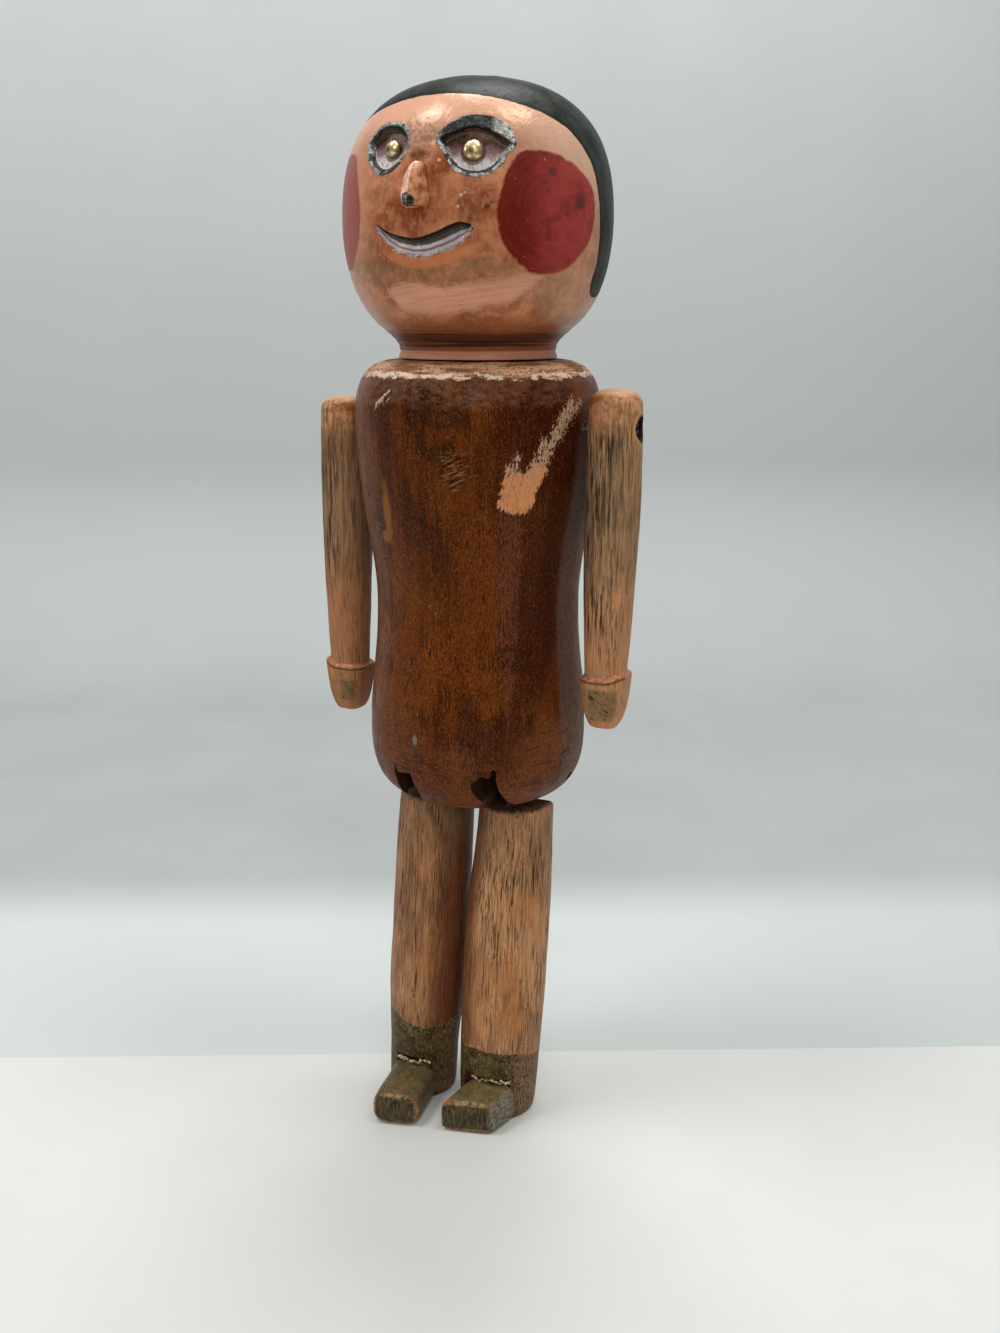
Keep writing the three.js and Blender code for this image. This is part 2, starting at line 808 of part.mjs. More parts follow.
export default doll;
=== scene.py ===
"""A jointed wooden doll, standing. Its turned, carved and painted pieces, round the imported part.

Metres, +Z up. The doll faces -Y and its own left side is +X. Shapes are worked out in
millimetres and become metres when their mesh is made. Azimuths are degrees round the doll's
upright axis from straight ahead, positive towards its left. Heights are above the floor.
"""

import math

import bpy
import numpy as np
from mathutils import Matrix, Vector


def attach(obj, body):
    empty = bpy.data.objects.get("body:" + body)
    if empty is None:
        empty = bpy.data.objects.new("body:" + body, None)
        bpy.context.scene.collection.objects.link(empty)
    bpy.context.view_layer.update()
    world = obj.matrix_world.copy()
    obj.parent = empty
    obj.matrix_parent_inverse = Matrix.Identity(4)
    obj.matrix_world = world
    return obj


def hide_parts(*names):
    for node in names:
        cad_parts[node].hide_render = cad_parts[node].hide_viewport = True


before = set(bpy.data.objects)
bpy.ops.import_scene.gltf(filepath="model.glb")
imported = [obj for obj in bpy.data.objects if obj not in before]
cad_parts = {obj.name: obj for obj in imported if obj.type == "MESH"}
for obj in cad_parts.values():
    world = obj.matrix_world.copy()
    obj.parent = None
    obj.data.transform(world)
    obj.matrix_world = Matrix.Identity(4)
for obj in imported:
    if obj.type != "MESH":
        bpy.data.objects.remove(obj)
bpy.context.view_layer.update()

MM = 0.001

# Sizes of the doll, in millimetres
AXIS_Y = 2.55
SEAT_LEVEL = 87.5
NECK_LEVEL = 198.1
HIP_PIN = (11.5, 2.55, 92.9)
SLOT_HALF_WIDTH = 2.8
TONGUE_HALF_WIDTH = 2.5
LEG_LEAN = 6
SHOULDERS = {"right": (-36.9, 1.75, 179.3), "left": (36.9, -2.45, 183.0)}
SIDES = {"right": -1, "left": 1}
FACE_RADIUS = 31.0
CHEST_RADIUS = 29.0
NOSE_FRONT = -34.4
ARM_LENGTHS = {"right": 83.3, "left": 81.2}
ARM_RADIUS = 6.6
ARM_BEND = 0.55
ARM_OUTERMOST = -43.45
SHOULDER_DROP = 8.7
SCREW_SEAT_DEPTH = 1.2
CUFF_LEVEL = 12.75
TONGUE_RADIUS = 4.75
ROOF_BACK, ROOF_FRONT = 20, 12
FOOT_FLAT_HEIGHT = 12.2
FOOT_LENGTHS = {"right": 14.4, "left": 9.7}
HEEL_GAP = 0.3
TOE_SKEW = 14
TOE_SHIFTS = {"right": 1.3, "left": -3.0}
TOE_HALVES = {"right": 6.35, "left": 6.95}
OUTSIDE = -9.0

# Half outlines of the turned pieces: each curve has a start, two handles and an end, as
# (radius, height above the piece's lower face)
HEAD_CURVES = [
    ((19.3, 0), (19.3, 0.5), (18.9, 0.9), (18.9, 1.6)),
    ((18.9, 1.6), (18.9, 3.9), (21.3, 5.3), (22.5, 6.6)),
    ((22.5, 6.6), (28.52, 11.06), (31.9, 19.99), (31.9, 31.4)),
    ((31.9, 31.4), (31.9, 49.7), (23.61, 61.9), (0.05, 61.9)),
]
TORSO_CURVES = [
    ((12.5, 0), (24.82, 0), (27.9, 6.88), (27.9, 17.2)),
    ((27.9, 17.2), (27.9, 31.69), (25.6, 37.21), (25.6, 51.7)),
    ((25.6, 51.7), (25.6, 64.61), (30, 74.75), (30, 97.8)),
    ((30, 97.8), (30, 105.3), (27.32, 110.3), (19.3, 110.3)),
]

# Outlines on the face, as (azimuth, height)
LEFT_EYE = [
    (8.0, 244.0), (12.4, 245.7), (17.5, 246.6), (22.3, 247.0), (27.1, 246.6), (31.7, 245.6),
    (35.3, 244.3), (38.6, 243.0), (35.0, 241.0), (32.8, 239.2), (29.0, 237.6), (25.0, 236.8),
    (21.0, 236.8), (16.6, 237.6), (13.3, 239.3), (11.0, 241.6),
]
LEFT_LID = [
    (6.6, 244.8), (10.9, 246.8), (15.6, 248.0), (20.5, 248.7), (27.2, 248.7), (33.0, 248.0),
    (37.2, 246.7), (39.6, 244.4), (38.6, 243.0), (31.7, 245.0), (22.3, 246.2), (12.4, 245.0),
]
RIGHT_EYE = [
    (-29.6, 244.0), (-28.0, 245.5), (-25.0, 246.8), (-20.0, 247.4), (-13.7, 247.2),
    (-9.3, 246.0), (-6.9, 244.3), (-6.7, 242.6), (-7.9, 240.8), (-10.7, 239.2), (-15.4, 237.9),
    (-19.2, 238.0), (-23.6, 239.3), (-27.2, 241.4),
]
MOUTH = [
    (-20.9, 227.1), (-15.2, 225.6), (-9.4, 224.6), (-2.3, 224.0), (3.5, 224.6), (9.0, 225.6),
    (12.8, 226.5), (16.9, 227.1), (21.6, 226.3), (18.6, 223.8), (14.2, 222.1), (8.8, 221.0),
    (2.3, 220.2), (-3.6, 220.4), (-9.9, 221.3), (-14.5, 222.8), (-17.9, 224.6),
]
CHEEK = [
    (40.6, 241.0), (47.1, 241.6), (53.9, 241.5), (61.2, 240.5), (68.3, 238.6), (75.3, 235.6),
    (77.9, 232.6), (78.1, 228.5), (76.1, 224.5), (70.5, 220.7), (64.8, 218.2), (57.0, 216.8),
    (47.9, 216.7), (42.6, 218.1), (37.5, 220.3), (33.6, 223.1), (31.6, 226.5), (31.4, 230.3),
    (33.0, 233.9), (36.0, 238.0),
]
SWATHE = [
    (-20.0, 213.6), (-8.0, 215.0), (6.0, 214.2), (19.0, 214.9), (34.0, 215.4), (47.0, 216.8),
    (52.5, 216.0), (47.0, 213.6), (42.0, 211.8), (36.4, 210.4), (24.0, 209.2), (12.9, 208.5),
    (0.0, 208.2), (-14.0, 208.8), (-19.0, 211.0),
]
HAIRLINE = [
    (99.0, 211.9), (92.0, 212.0), (86.5, 213.0), (84.0, 215.6), (84.6, 218.5), (84.0, 222.0),
    (82.8, 229.0), (80.2, 237.0), (76.8, 241.3), (68.7, 246.2), (57.9, 249.2), (42.8, 251.5),
    (23.9, 253.2), (3.7, 253.6), (-17.7, 253.1), (-40.1, 251.3), (-55.0, 249.4),
    (-67.0, 246.6), (-75.5, 242.4), (-79.8, 237.4), (-82.4, 229.0), (-83.8, 222.0),
    (-84.2, 217.0), (-86.5, 213.2), (-92.0, 211.9), (-99.0, 211.7),
]

# Outlines on the seat, as (x, height), where the slots are broken out in front
BROKEN_SLOTS = {
    "right": [
        (-12.2, 80), (-5.6, 80), (-4.9, 92.6), (-5.1, 94.2), (-5.8, 95.6), (-6.2, 97.5),
        (-6.6, 98.8), (-7.8, 98.5), (-8.8, 98.4), (-9.9, 97.9), (-10.9, 98.1), (-11.2, 98.8),
        (-11.5, 100.3), (-11.75, 100.2), (-11.9, 98.4), (-12.0, 97.1), (-11.85, 94.6), (-11.9, 92),
    ],
    "left": [
        (10.2, 80), (17.4, 80), (16.6, 90.4), (15.9, 93.4), (15.2, 96.2), (15.0, 98.9),
        (15.1, 101.4), (14.5, 101.9), (13.8, 101.1), (13.9, 99.9), (13.1, 99.4), (12.4, 99.8),
        (11.5, 100.1), (10.9, 99.2), (9.9, 98.4), (9.2, 97.6), (9.35, 95.9), (9.8, 94.6),
        (10.2, 93.6), (11.0, 92.6), (10.4, 90.5),
    ],
}

# Strokes of flesh paint on the chest: (azimuth, height) at each end, and half width
SMEAR_STROKES = [
    ((40.5, 167.2), (44.5, 167.2), 3.2),
    ((44.0, 167.6), (51.8, 174.0), 2.5),
    ((38.0, 166.6), (40.5, 172.2), 2.2),
    ((34.2, 166.2), (37.6, 174.6), 0.8),
    ((37.8, 170.0), (41.4, 177.0), 0.6),
    ((52.0, 174.0), (60.0, 181.5), 1.3),
    ((49.6, 175.0), (55.0, 180.5), 0.9),
    ((59.0, 181.0), (65.8, 186.6), 1.1),
    ((62.0, 181.6), (70.5, 188.8), 1.2),
    ((68.5, 185.2), (76.5, 188.6), 0.9),
]


def tone(red, green, blue):
    """A colour given from 0 to 255 as it looks, for a shader socket."""
    share = np.array([red, green, blue]) / 255
    linear = np.where(share <= 0.04045, share / 12.92, ((share + 0.055) / 1.055) ** 2.4)
    return (*linear.tolist(), 1.0)


# Meshes


def add_object(name, data):
    """An object in the scene, at the origin."""
    thing = bpy.data.objects.new(name, data)
    bpy.context.scene.collection.objects.link(thing)
    return thing


def make_piece(name, points, faces, materials, fields=None, sharp_angle=40):
    """A mesh object from points in millimetres, with a value for each point by field name."""
    mesh = bpy.data.meshes.new(name)
    mesh.from_pydata((np.asarray(points) * MM).tolist(), [], faces)
    mesh.update()
    piece = add_object(name, mesh)
    set_fields(piece, fields or {})
    for material in materials:
        mesh.materials.append(material)
    smooth(mesh, sharp_angle)
    return piece


def smooth(mesh, sharp_angle):
    mesh.shade_smooth()
    mesh.set_sharp_from_angle(angle=math.radians(sharp_angle))


def skin(rings):
    """Points and faces of closed rings, listed from the lowest up, with both ends closed."""
    rows, sides = rings.shape[:2]
    index = np.arange(rows * sides).reshape(rows, sides)
    onward = np.roll(index, -1, axis=1)
    quads = np.stack([index[:-1], onward[:-1], onward[1:], index[1:]], axis=-1).reshape(-1, 4)
    low, high = rows * sides, rows * sides + 1
    floor_fan = np.stack([onward[0], index[0], np.full(sides, low)], axis=-1)
    top_fan = np.stack([index[-1], onward[-1], np.full(sides, high)], axis=-1)
    points = np.concatenate([rings.reshape(-1, 3), [rings[0].mean(0)], [rings[-1].mean(0)]])
    return points, quads.tolist() + floor_fan.tolist() + top_fan.tolist()


def points_of(piece):
    """The points of a piece, in millimetres."""
    values = np.zeros(len(piece.data.vertices) * 3)
    piece.data.vertices.foreach_get("co", values)
    return values.reshape(-1, 3) / MM


def set_fields(piece, fields):
    """Gives every point of a piece its value for each field name."""
    layers = piece.data.attributes
    for field, values in fields.items():
        layer = layers.get(field) or layers.new(field, "FLOAT", "POINT")
        layer.data.foreach_set("value", values.astype(np.float32))


def shape_taken(piece):
    """The plain mesh that a piece's modifiers make. The modifiers are removed."""
    bpy.context.view_layer.update()
    evaluated = piece.evaluated_get(bpy.context.evaluated_depsgraph_get())
    mesh = bpy.data.meshes.new_from_object(evaluated)
    piece.modifiers.clear()
    return mesh


def carve(piece, tools, operation="DIFFERENCE", sharp_angle=40):
    """Cuts closed tools out of a piece, or joins them to it."""
    for tool in tools:
        change = piece.modifiers.new(tool.name, "BOOLEAN")
        change.object = tool
        change.operation = operation
        change.solver = "EXACT"
        change.material_mode = "TRANSFER"
    piece.data = shape_taken(piece)
    piece.data.name = piece.name
    for tool in tools:
        bpy.data.objects.remove(tool)
    smooth(piece.data, sharp_angle)


def curve_points(curves):
    """A dense line of (radius, height) along joined curves."""
    share = np.linspace(0, 1, 400)[:, None]
    parts = []
    for curve in curves:
        start, first, second, end = (np.array(point, float) for point in curve)
        parts.append(
            (1 - share) ** 3 * start
            + 3 * (1 - share) ** 2 * share * first
            + 3 * (1 - share) * share**2 * second
            + share**3 * end
        )
    line = np.concatenate(parts)
    keep = np.r_[True, np.linalg.norm(np.diff(line, axis=0), axis=1) > 1e-9]
    return line[keep]


def spaced(line, spacing):
    """Rows along a line at the spacing that it asks for at each height: radius, height and
    the outward direction of each."""
    steps = np.linalg.norm(np.diff(line, axis=0), axis=1)
    middles = (line[1:, 1] + line[:-1, 1]) / 2
    count = np.r_[0, np.cumsum(steps / spacing(middles))]
    marks = np.linspace(0, count[-1], max(2, round(count[-1])))
    radius = np.interp(marks, count, line[:, 0])
    height = np.interp(marks, count, line[:, 1])
    direction = np.gradient(line, axis=0)
    across = np.interp(marks, count, direction[:, 1])
    upward = np.interp(marks, count, -direction[:, 0])
    length = np.hypot(across, upward)
    return radius, height, across / length, upward / length


def spin(rows, azimuths, level, offset):
    """Rings of a turned piece, its surface moved outwards by offset(azimuth, height)."""
    radius, height, across, upward = (values[:, None] for values in rows)
    azimuth = np.asarray(azimuths)[None, :]
    moved = offset(azimuth + 0 * radius, level + height + 0 * azimuth)
    reach = radius + across * moved
    angle = np.radians(azimuth)
    rise = level + height + upward * moved
    return np.stack([reach * np.sin(angle), AXIS_Y - reach * np.cos(angle), rise], axis=-1)


def flow(marks, values, wanted):
    """A smooth line through the marked values that never overshoots them."""
    marks, values = np.array(marks, float), np.array(values, float)
    slope = np.diff(values) / np.diff(marks)
    tangent = np.r_[slope[0], (slope[1:] + slope[:-1]) / 2, slope[-1]]
    tangent[1:-1][slope[1:] * slope[:-1] <= 0] = 0
    limit = 3 * np.minimum(np.r_[np.inf, abs(slope)], np.r_[abs(slope), np.inf])
    tangent = np.clip(tangent, -limit, limit)
    at = np.clip(np.searchsorted(marks, wanted) - 1, 0, len(slope) - 1)
    width = marks[at + 1] - marks[at]
    t = np.clip((wanted - marks[at]) / width, 0, 1)
    return (
        values[at] * (1 + 2 * t) * (1 - t) ** 2
        + values[at + 1] * t * t * (3 - 2 * t)
        + width * (tangent[at] * t * (1 - t) ** 2 - tangent[at + 1] * t * t * (1 - t))
    )


def ease(value, low, high):
    """0 below low and 1 above high, with a smooth change between."""
    share = np.clip((value - low) / (high - low), 0, 1)
    return share * share * (3 - 2 * share)


def lumps(points, size, seed=0):
    """Smooth random values from -1 to 1 that change over about size millimetres."""
    place = np.asarray(points) / size + 7.31 * seed
    cell = np.floor(place)
    share = place - cell
    share = share * share * (3 - 2 * share)
    total = np.zeros(place.shape[:-1])
    for corner in np.ndindex(2, 2, 2):
        mixed = np.sin((cell + corner) @ np.array([127.1, 311.7, 74.7]) + seed) * 43758.5453
        weight = np.prod(np.where(np.array(corner, bool), share, 1 - share), axis=-1)
        total += weight * (mixed - np.floor(mixed))
    return 2 * total - 1


def wrapped(angle):
    """The same angle in degrees, between -180 and 180."""
    return (angle + 180) % 360 - 180


def square_reach(across, along, power):
    """How far out a square with rounded corners reaches, its sides at 1, in a direction."""
    return (np.abs(across) ** power + np.abs(along) ** power) ** (-1 / power)


def azimuths_of(points):
    return np.degrees(np.arctan2(points[..., 0], AXIS_Y - points[..., 1]))


def rounded(outline, steps=5):
    """A closed outline with smooth bends through its points."""
    knots = np.array(outline, float)
    share = np.linspace(0, 1, steps, endpoint=False)[:, None]
    parts = []
    for i in range(len(knots)):
        before, start, end, after = (knots[(i + k) % len(knots)] for k in (-1, 0, 1, 2))
        parts.append(
            0.5
            * (
                2 * start
                + (end - before) * share
                + (2 * before - 5 * start + 4 * end - after) * share**2
                + (3 * start - before - 3 * end + after) * share**3
            )
        )
    return np.concatenate(parts)


def depth_inside(outline, azimuth, height, steps=5):
    """Millimetres from an outline on the doll's round side, positive inside it."""
    scale = np.array([math.radians(1) * FACE_RADIUS, 1])
    start = rounded(outline, steps) * scale
    end = np.roll(start, -1, axis=0)
    edge = end - start
    x = np.ravel(azimuth) * scale[0]
    y = np.ravel(height)
    nearest = np.full(x.shape, 1e9)
    inside = np.zeros(x.shape, bool)
    for (x0, y0), y1, (dx, dy) in zip(start, end[:, 1], edge):
        along = np.clip(((x - x0) * dx + (y - y0) * dy) / (dx * dx + dy * dy), 0, 1)
        nearest = np.minimum(nearest, np.hypot(x - x0 - along * dx, y - y0 - along * dy))
        if y0 != y1:
            crosses = ((y0 > y) != (y1 > y)) & (x < x0 + (y - y0) * dx / (y1 - y0))
            inside ^= crosses
    return np.where(inside, nearest, -nearest).reshape(np.shape(azimuth))


def stroke_depth(strokes, azimuth, height):
    """Millimetres inside the nearest of some strokes, negative outside them all."""
    scale = math.radians(1) * CHEST_RADIUS
    best = np.full(np.shape(azimuth), -1e9)
    for (from_turn, from_height), (to_turn, to_height), half_width in strokes:
        dx, dy = (to_turn - from_turn) * scale, to_height - from_height
        x, y = (azimuth - from_turn) * scale, height - from_height
        along = np.clip((x * dx + y * dy) / (dx * dx + dy * dy), 0, 1)
        best = np.maximum(best, half_width - np.hypot(x - along * dx, y - along * dy))
    return best


def spot_depth(spots, azimuth, height, scale):
    """Millimetres inside the nearest of some round spots: (azimuth, height, radius) each."""
    depths = [
        size - np.hypot((azimuth - turn) * scale, height - level) for turn, level, size in spots
    ]
    return np.maximum(np.maximum.reduce(depths), OUTSIDE)


# Finishes


class Finish:
    """One finish, built up from shader nodes. Sizes are in millimetres, and three numbers
    together are a colour as it looks, from 0 to 255."""

    def __init__(self, name):
        self.material = bpy.data.materials.new(name)
        self.material.use_nodes = True
        self.tree = self.material.node_tree
        self.tree.nodes.clear()
        output = self.tree.nodes.new("ShaderNodeOutputMaterial")
        self.shader = self.tree.nodes.new("ShaderNodeBsdfPrincipled")
        self.tree.links.new(self.shader.outputs["BSDF"], output.inputs["Surface"])
        self.place = self.tree.nodes.new("ShaderNodeTexCoord").outputs["Object"]
        self.normal = None

    def feed(self, value, socket):
        if isinstance(value, bpy.types.NodeSocket):
            self.tree.links.new(value, socket)
        else:
            socket.default_value = tone(*value) if isinstance(value, tuple) else value

    def sum(self, operation, *values):
        node = self.tree.nodes.new("ShaderNodeMath")
        node.operation = operation
        for value, socket in zip(values, node.inputs):
            self.feed(value, socket)
        return node.outputs[0]

    def plus(self, first, second):
        return self.sum("ADD", first, second)

    def times(self, first, second):
        return self.sum("MULTIPLY", first, second)

    def most(self, first, second):
        return self.sum("MAXIMUM", first, second)

    def field(self, name):
        """The value that each point of the mesh has under a field name."""
        node = self.tree.nodes.new("ShaderNodeAttribute")
        node.attribute_name = name
        return node.outputs["Fac"]

    def level(self, axis):
        """A coordinate in millimetres."""
        node = self.tree.nodes.new("ShaderNodeSeparateXYZ")
        self.feed(self.place, node.inputs[0])
        return self.times(node.outputs[axis], 1 / MM)

    def clouds(
        self, size, stretch=(1, 1, 1), detail=3, roughness=0.5, warp=0.0, seed=0,
        turn=(0, 0, 0), at=None,
    ):
        """Random values about 0.5 that change over size millimetres, drawn out by stretch."""
        mapping = self.tree.nodes.new("ShaderNodeMapping")
        mapping.vector_type = "TEXTURE"
        self.feed(at or self.place, mapping.inputs["Vector"])
        scale = np.array(stretch) * size * (1 if at else MM)
        shift = scale * [3.1 * seed, 1.7 * seed, 2.3 * seed]
        mapping.inputs["Location"].default_value = shift.tolist()
        mapping.inputs["Rotation"].default_value = [math.radians(angle) for angle in turn]
        mapping.inputs["Scale"].default_value = scale.tolist()
        noise = self.tree.nodes.new("ShaderNodeTexNoise")
        self.feed(mapping.outputs[0], noise.inputs["Vector"])
        noise.inputs["Scale"].default_value = 1
        noise.inputs["Detail"].default_value = detail
        noise.inputs["Roughness"].default_value = roughness
        noise.inputs["Distortion"].default_value = warp
        return noise.outputs[0]

    def combined(self, x, y, z):
        node = self.tree.nodes.new("ShaderNodeCombineXYZ")
        for value, socket in zip((x, y, z), node.inputs):
            self.feed(value, socket)
        return node.outputs[0]

    def rise(self, value, low, high):
        """0 where value is low and 1 where it is high, smooth between."""
        node = self.tree.nodes.new("ShaderNodeMapRange")
        node.interpolation_type = "SMOOTHSTEP"
        self.feed(value, node.inputs["Value"])
        bottom, top = (low, high) if low < high else (high, low)
        node.inputs["From Min"].default_value = bottom
        node.inputs["From Max"].default_value = top
        node.inputs["To Min"].default_value = 0 if low < high else 1
        node.inputs["To Max"].default_value = 1 if low < high else 0
        return node.outputs[0]

    def band(self, value, low, high, soft):
        """1 between low and high, fading out over soft on each side."""
        return self.times(self.rise(value, low - soft, low), self.rise(value, high + soft, high))

    def ragged(self, value, amount, size, stretch=(1, 1, 1), seed=0):
        """A value whose edges wander by about amount."""
        wander = self.plus(self.clouds(size, stretch, detail=4, roughness=0.6, seed=seed), -0.5)
        return self.plus(value, self.times(wander, 2 * amount))

    def spots(self, size, low, high, *shape, **kind):
        """1 in the places where clouds of a size are over high, 0 where they are under low."""
        return self.rise(self.clouds(size, *shape, **kind), low, high)

    def patch(self, name, low, high, *shape, **kind):
        """1 inside a painted or worn place of the mesh, with a ragged edge."""
        return self.rise(self.ragged(self.field(name), *shape, **kind), low, high)

    def mix(self, first, second, share):
        node = self.tree.nodes.new("ShaderNodeMix")
        node.data_type = "RGBA"
        self.feed(share, node.inputs[0])
        self.feed(first, node.inputs[6])
        self.feed(second, node.inputs[7])
        return node.outputs[2]

    def layers(self, colour, *coats):
        """A colour with coats laid over it in turn: a colour each, and the shares of it."""
        for coat, share, *more in coats:
            for other in more:
                share = self.times(share, other)
            colour = self.mix(colour, coat, share)
        return colour

    def blend(self, first, second, share):
        """A plain number that goes from first to second."""
        node = self.tree.nodes.new("ShaderNodeMix")
        self.feed(share, node.inputs[0])
        self.feed(first, node.inputs[2])
        self.feed(second, node.inputs[3])
        return node.outputs[0]

    def relief(self, *bumps):
        """Bumps, each of depth millimetres where height goes from 0 to 1."""
        for height, depth in bumps:
            node = self.tree.nodes.new("ShaderNodeBump")
            node.inputs["Strength"].default_value = 1
            node.inputs["Distance"].default_value = depth * MM
            self.feed(height, node.inputs["Height"])
            if self.normal:
                self.feed(self.normal, node.inputs["Normal"])
            self.normal = node.outputs[0]

    def done(self, colour, roughness, metallic=None, specular=0.5, tint=None):
        """The material, with what it has so far on its shader's own sockets."""
        self.feed(colour, self.shader.inputs["Base Color"])
        self.feed(roughness, self.shader.inputs["Roughness"])
        if metallic is not None:
            self.feed(metallic, self.shader.inputs["Metallic"])
        self.feed(specular, self.shader.inputs["Specular IOR Level"])
        if tint:
            self.feed(tint, self.shader.inputs["Specular Tint"])
        if self.normal:
            self.feed(self.normal, self.shader.inputs["Normal"])
        return self.material


def head_finish():
    """Glossy flesh paint, dark hair, red cheeks, and silver and black in the carving."""
    f = Finish("head paint")
    height = f.level("Z")
    aside = f.level("X")
    # flesh, patchy from handling
    patches = f.clouds(9, (1, 1, 0.8), detail=5, roughness=0.6, seed=1)
    fine = f.clouds(1.1, (1, 1, 2.0), detail=5, roughness=0.7, seed=2)
    flesh = f.layers(
        f.mix((134, 66, 34), (192, 120, 82), f.rise(patches, 0.36, 0.62)),
        ((118, 66, 34), f.spots(5, 0.52, 0.68, detail=4, seed=3), 0.55),
        ((206, 150, 114), f.rise(fine, 0.5, 0.62), 0.3),
        ((92, 50, 28), f.rise(fine, 0.46, 0.36), 0.26),
    )
    # the forehead is painted lighter towards the top: painted light from above
    lit_forehead = f.rise(f.ragged(height, 3, 8, seed=4), 238, 250)
    flesh = f.layers(flesh, ((224, 172, 142), lit_forehead, 0.78))
    sides = f.rise(f.ragged(aside, 3, 9, seed=5), 17, 27)
    flesh = f.layers(
        flesh,
        ((222, 180, 152), sides, f.blend(0.3, 0.8, f.rise(height, 225, 240))),
        ((206, 150, 116), f.rise(aside, -8, -20), 0.6),
    )
    # grey handling marks under the mouth, then a swathe of a newer pink paint
    front = f.rise(f.level("Y"), -12, -24)
    smudge = f.times(f.band(f.ragged(height, 1.6, 6, seed=6), 215.0, 219.0, 1.6), front)
    flesh = f.layers(
        flesh,
        (
            (116, 92, 66), f.spots(2.6, 0.3, 0.66, (1, 1, 0.5), detail=5, roughness=0.6, seed=7),
            0.62, smudge,
        ),
    )
    bristles = f.clouds(0.5, (16, 16, 1), detail=3, roughness=0.6, seed=8, turn=(0, -8, 0))
    swathe = f.rise(
        f.plus(f.ragged(f.field("swathe"), 1.2, 3, seed=9), f.times(f.plus(bristles, -0.5), 3.2)),
        -0.7,
        1.1,
    )
    pink = f.mix((222, 160, 132), (206, 142, 114), f.rise(bristles, 0.36, 0.66))
    flesh = f.layers(
        flesh,
        (pink, swathe, 0.82),
        # painted shade under the chin, from 208.5 mm down
        ((138, 80, 46), f.rise(height, 208.5, 205.5), 0.7),
    )
    # neck, darker as painted shade under the head, with dirt in the turning marks
    neck = f.rise(height, 206.0, 202.5)
    rings = f.clouds(0.5, (60, 60, 1), detail=3, roughness=0.6, seed=10)
    flesh = f.layers(
        flesh,
        ((128, 66, 38), neck, 0.75),
        ((46, 26, 16), neck, f.rise(rings, 0.5, 0.62)),
        ((206, 140, 108), f.band(height, 198.4, 199.8, 0.4), 0.8),
    )
    dirt = f.times(f.band(f.ragged(height, 0.6, 3, seed=11), 202.6, 203.6, 0.6), 0.7)
    flesh = f.layers(flesh, ((44, 30, 22), dirt))
    # specks and flecks
    specks = f.spots(0.7, 0.7, 0.76, detail=3, roughness=0.6, seed=12)
    flesh = f.layers(flesh, ((60, 38, 26), specks, 0.6))
    flecks = f.patch("flecks", 0.0, 0.25, 0.35, 0.9, seed=13)
    flesh = f.layers(flesh, ((226, 186, 156), flecks, 0.75))
    # cheeks, brushed round and round
    ring = f.combined(f.field("ring"), f.times(height, 0.05), f.times(f.level("Y"), 0.05))
    brushed = f.clouds(0.05, (1, 8, 8), detail=4, roughness=0.65, at=ring, seed=3)
    inside = f.patch("cheek", -0.4, 0.4, 0.6, 1.8, seed=14)
    rosy = f.rise(f.ragged(aside, 3, 6, seed=15), 19, 29)
    red = f.layers(
        f.mix((105, 3, 4), (158, 52, 52), rosy),
        ((176, 74, 66), f.rise(brushed, 0.5, 0.64), f.blend(0.12, 0.28, rosy)),
        ((74, 10, 14), f.spots(4.0, 0.46, 0.68, detail=5, roughness=0.65, seed=16), 0.5),
        ((74, 26, 42), f.patch("bruise", -0.2, 0.8, 0.6, 1.2, seed=17), 0.7),
        ((214, 140, 120), f.spots(0.6, 0.72, 0.77, detail=2, seed=18), 0.8),
        ((168, 96, 86), f.rise(aside, -10, -20), 0.65),
    )
    colour = f.mix(flesh, red, f.times(inside, 0.96))
    # hair
    hair = f.patch("hair", -0.1, 0.1, 0.3, 2.0, seed=19)
    dark = f.layers(
        f.mix(
            (36, 39, 35),
            (58, 61, 54),
            f.spots(4, 0.38, 0.64, (1, 1, 2), detail=5, roughness=0.6, seed=20),
        ),
        ((18, 20, 18), f.band(f.field("hair"), -0.1, 0.7, 0.4), 0.5),
    )
    worn = f.spots(1.6, 0.66, 0.69, detail=5, roughness=0.7, seed=21)
    bald = f.rise(f.field("bald"), -1.4, 0.6)
    chips = f.times(worn, f.plus(0.05, bald))
    dark = f.layers(dark, ((182, 130, 96), chips))
    colour = f.layers(colour, (dark, hair))
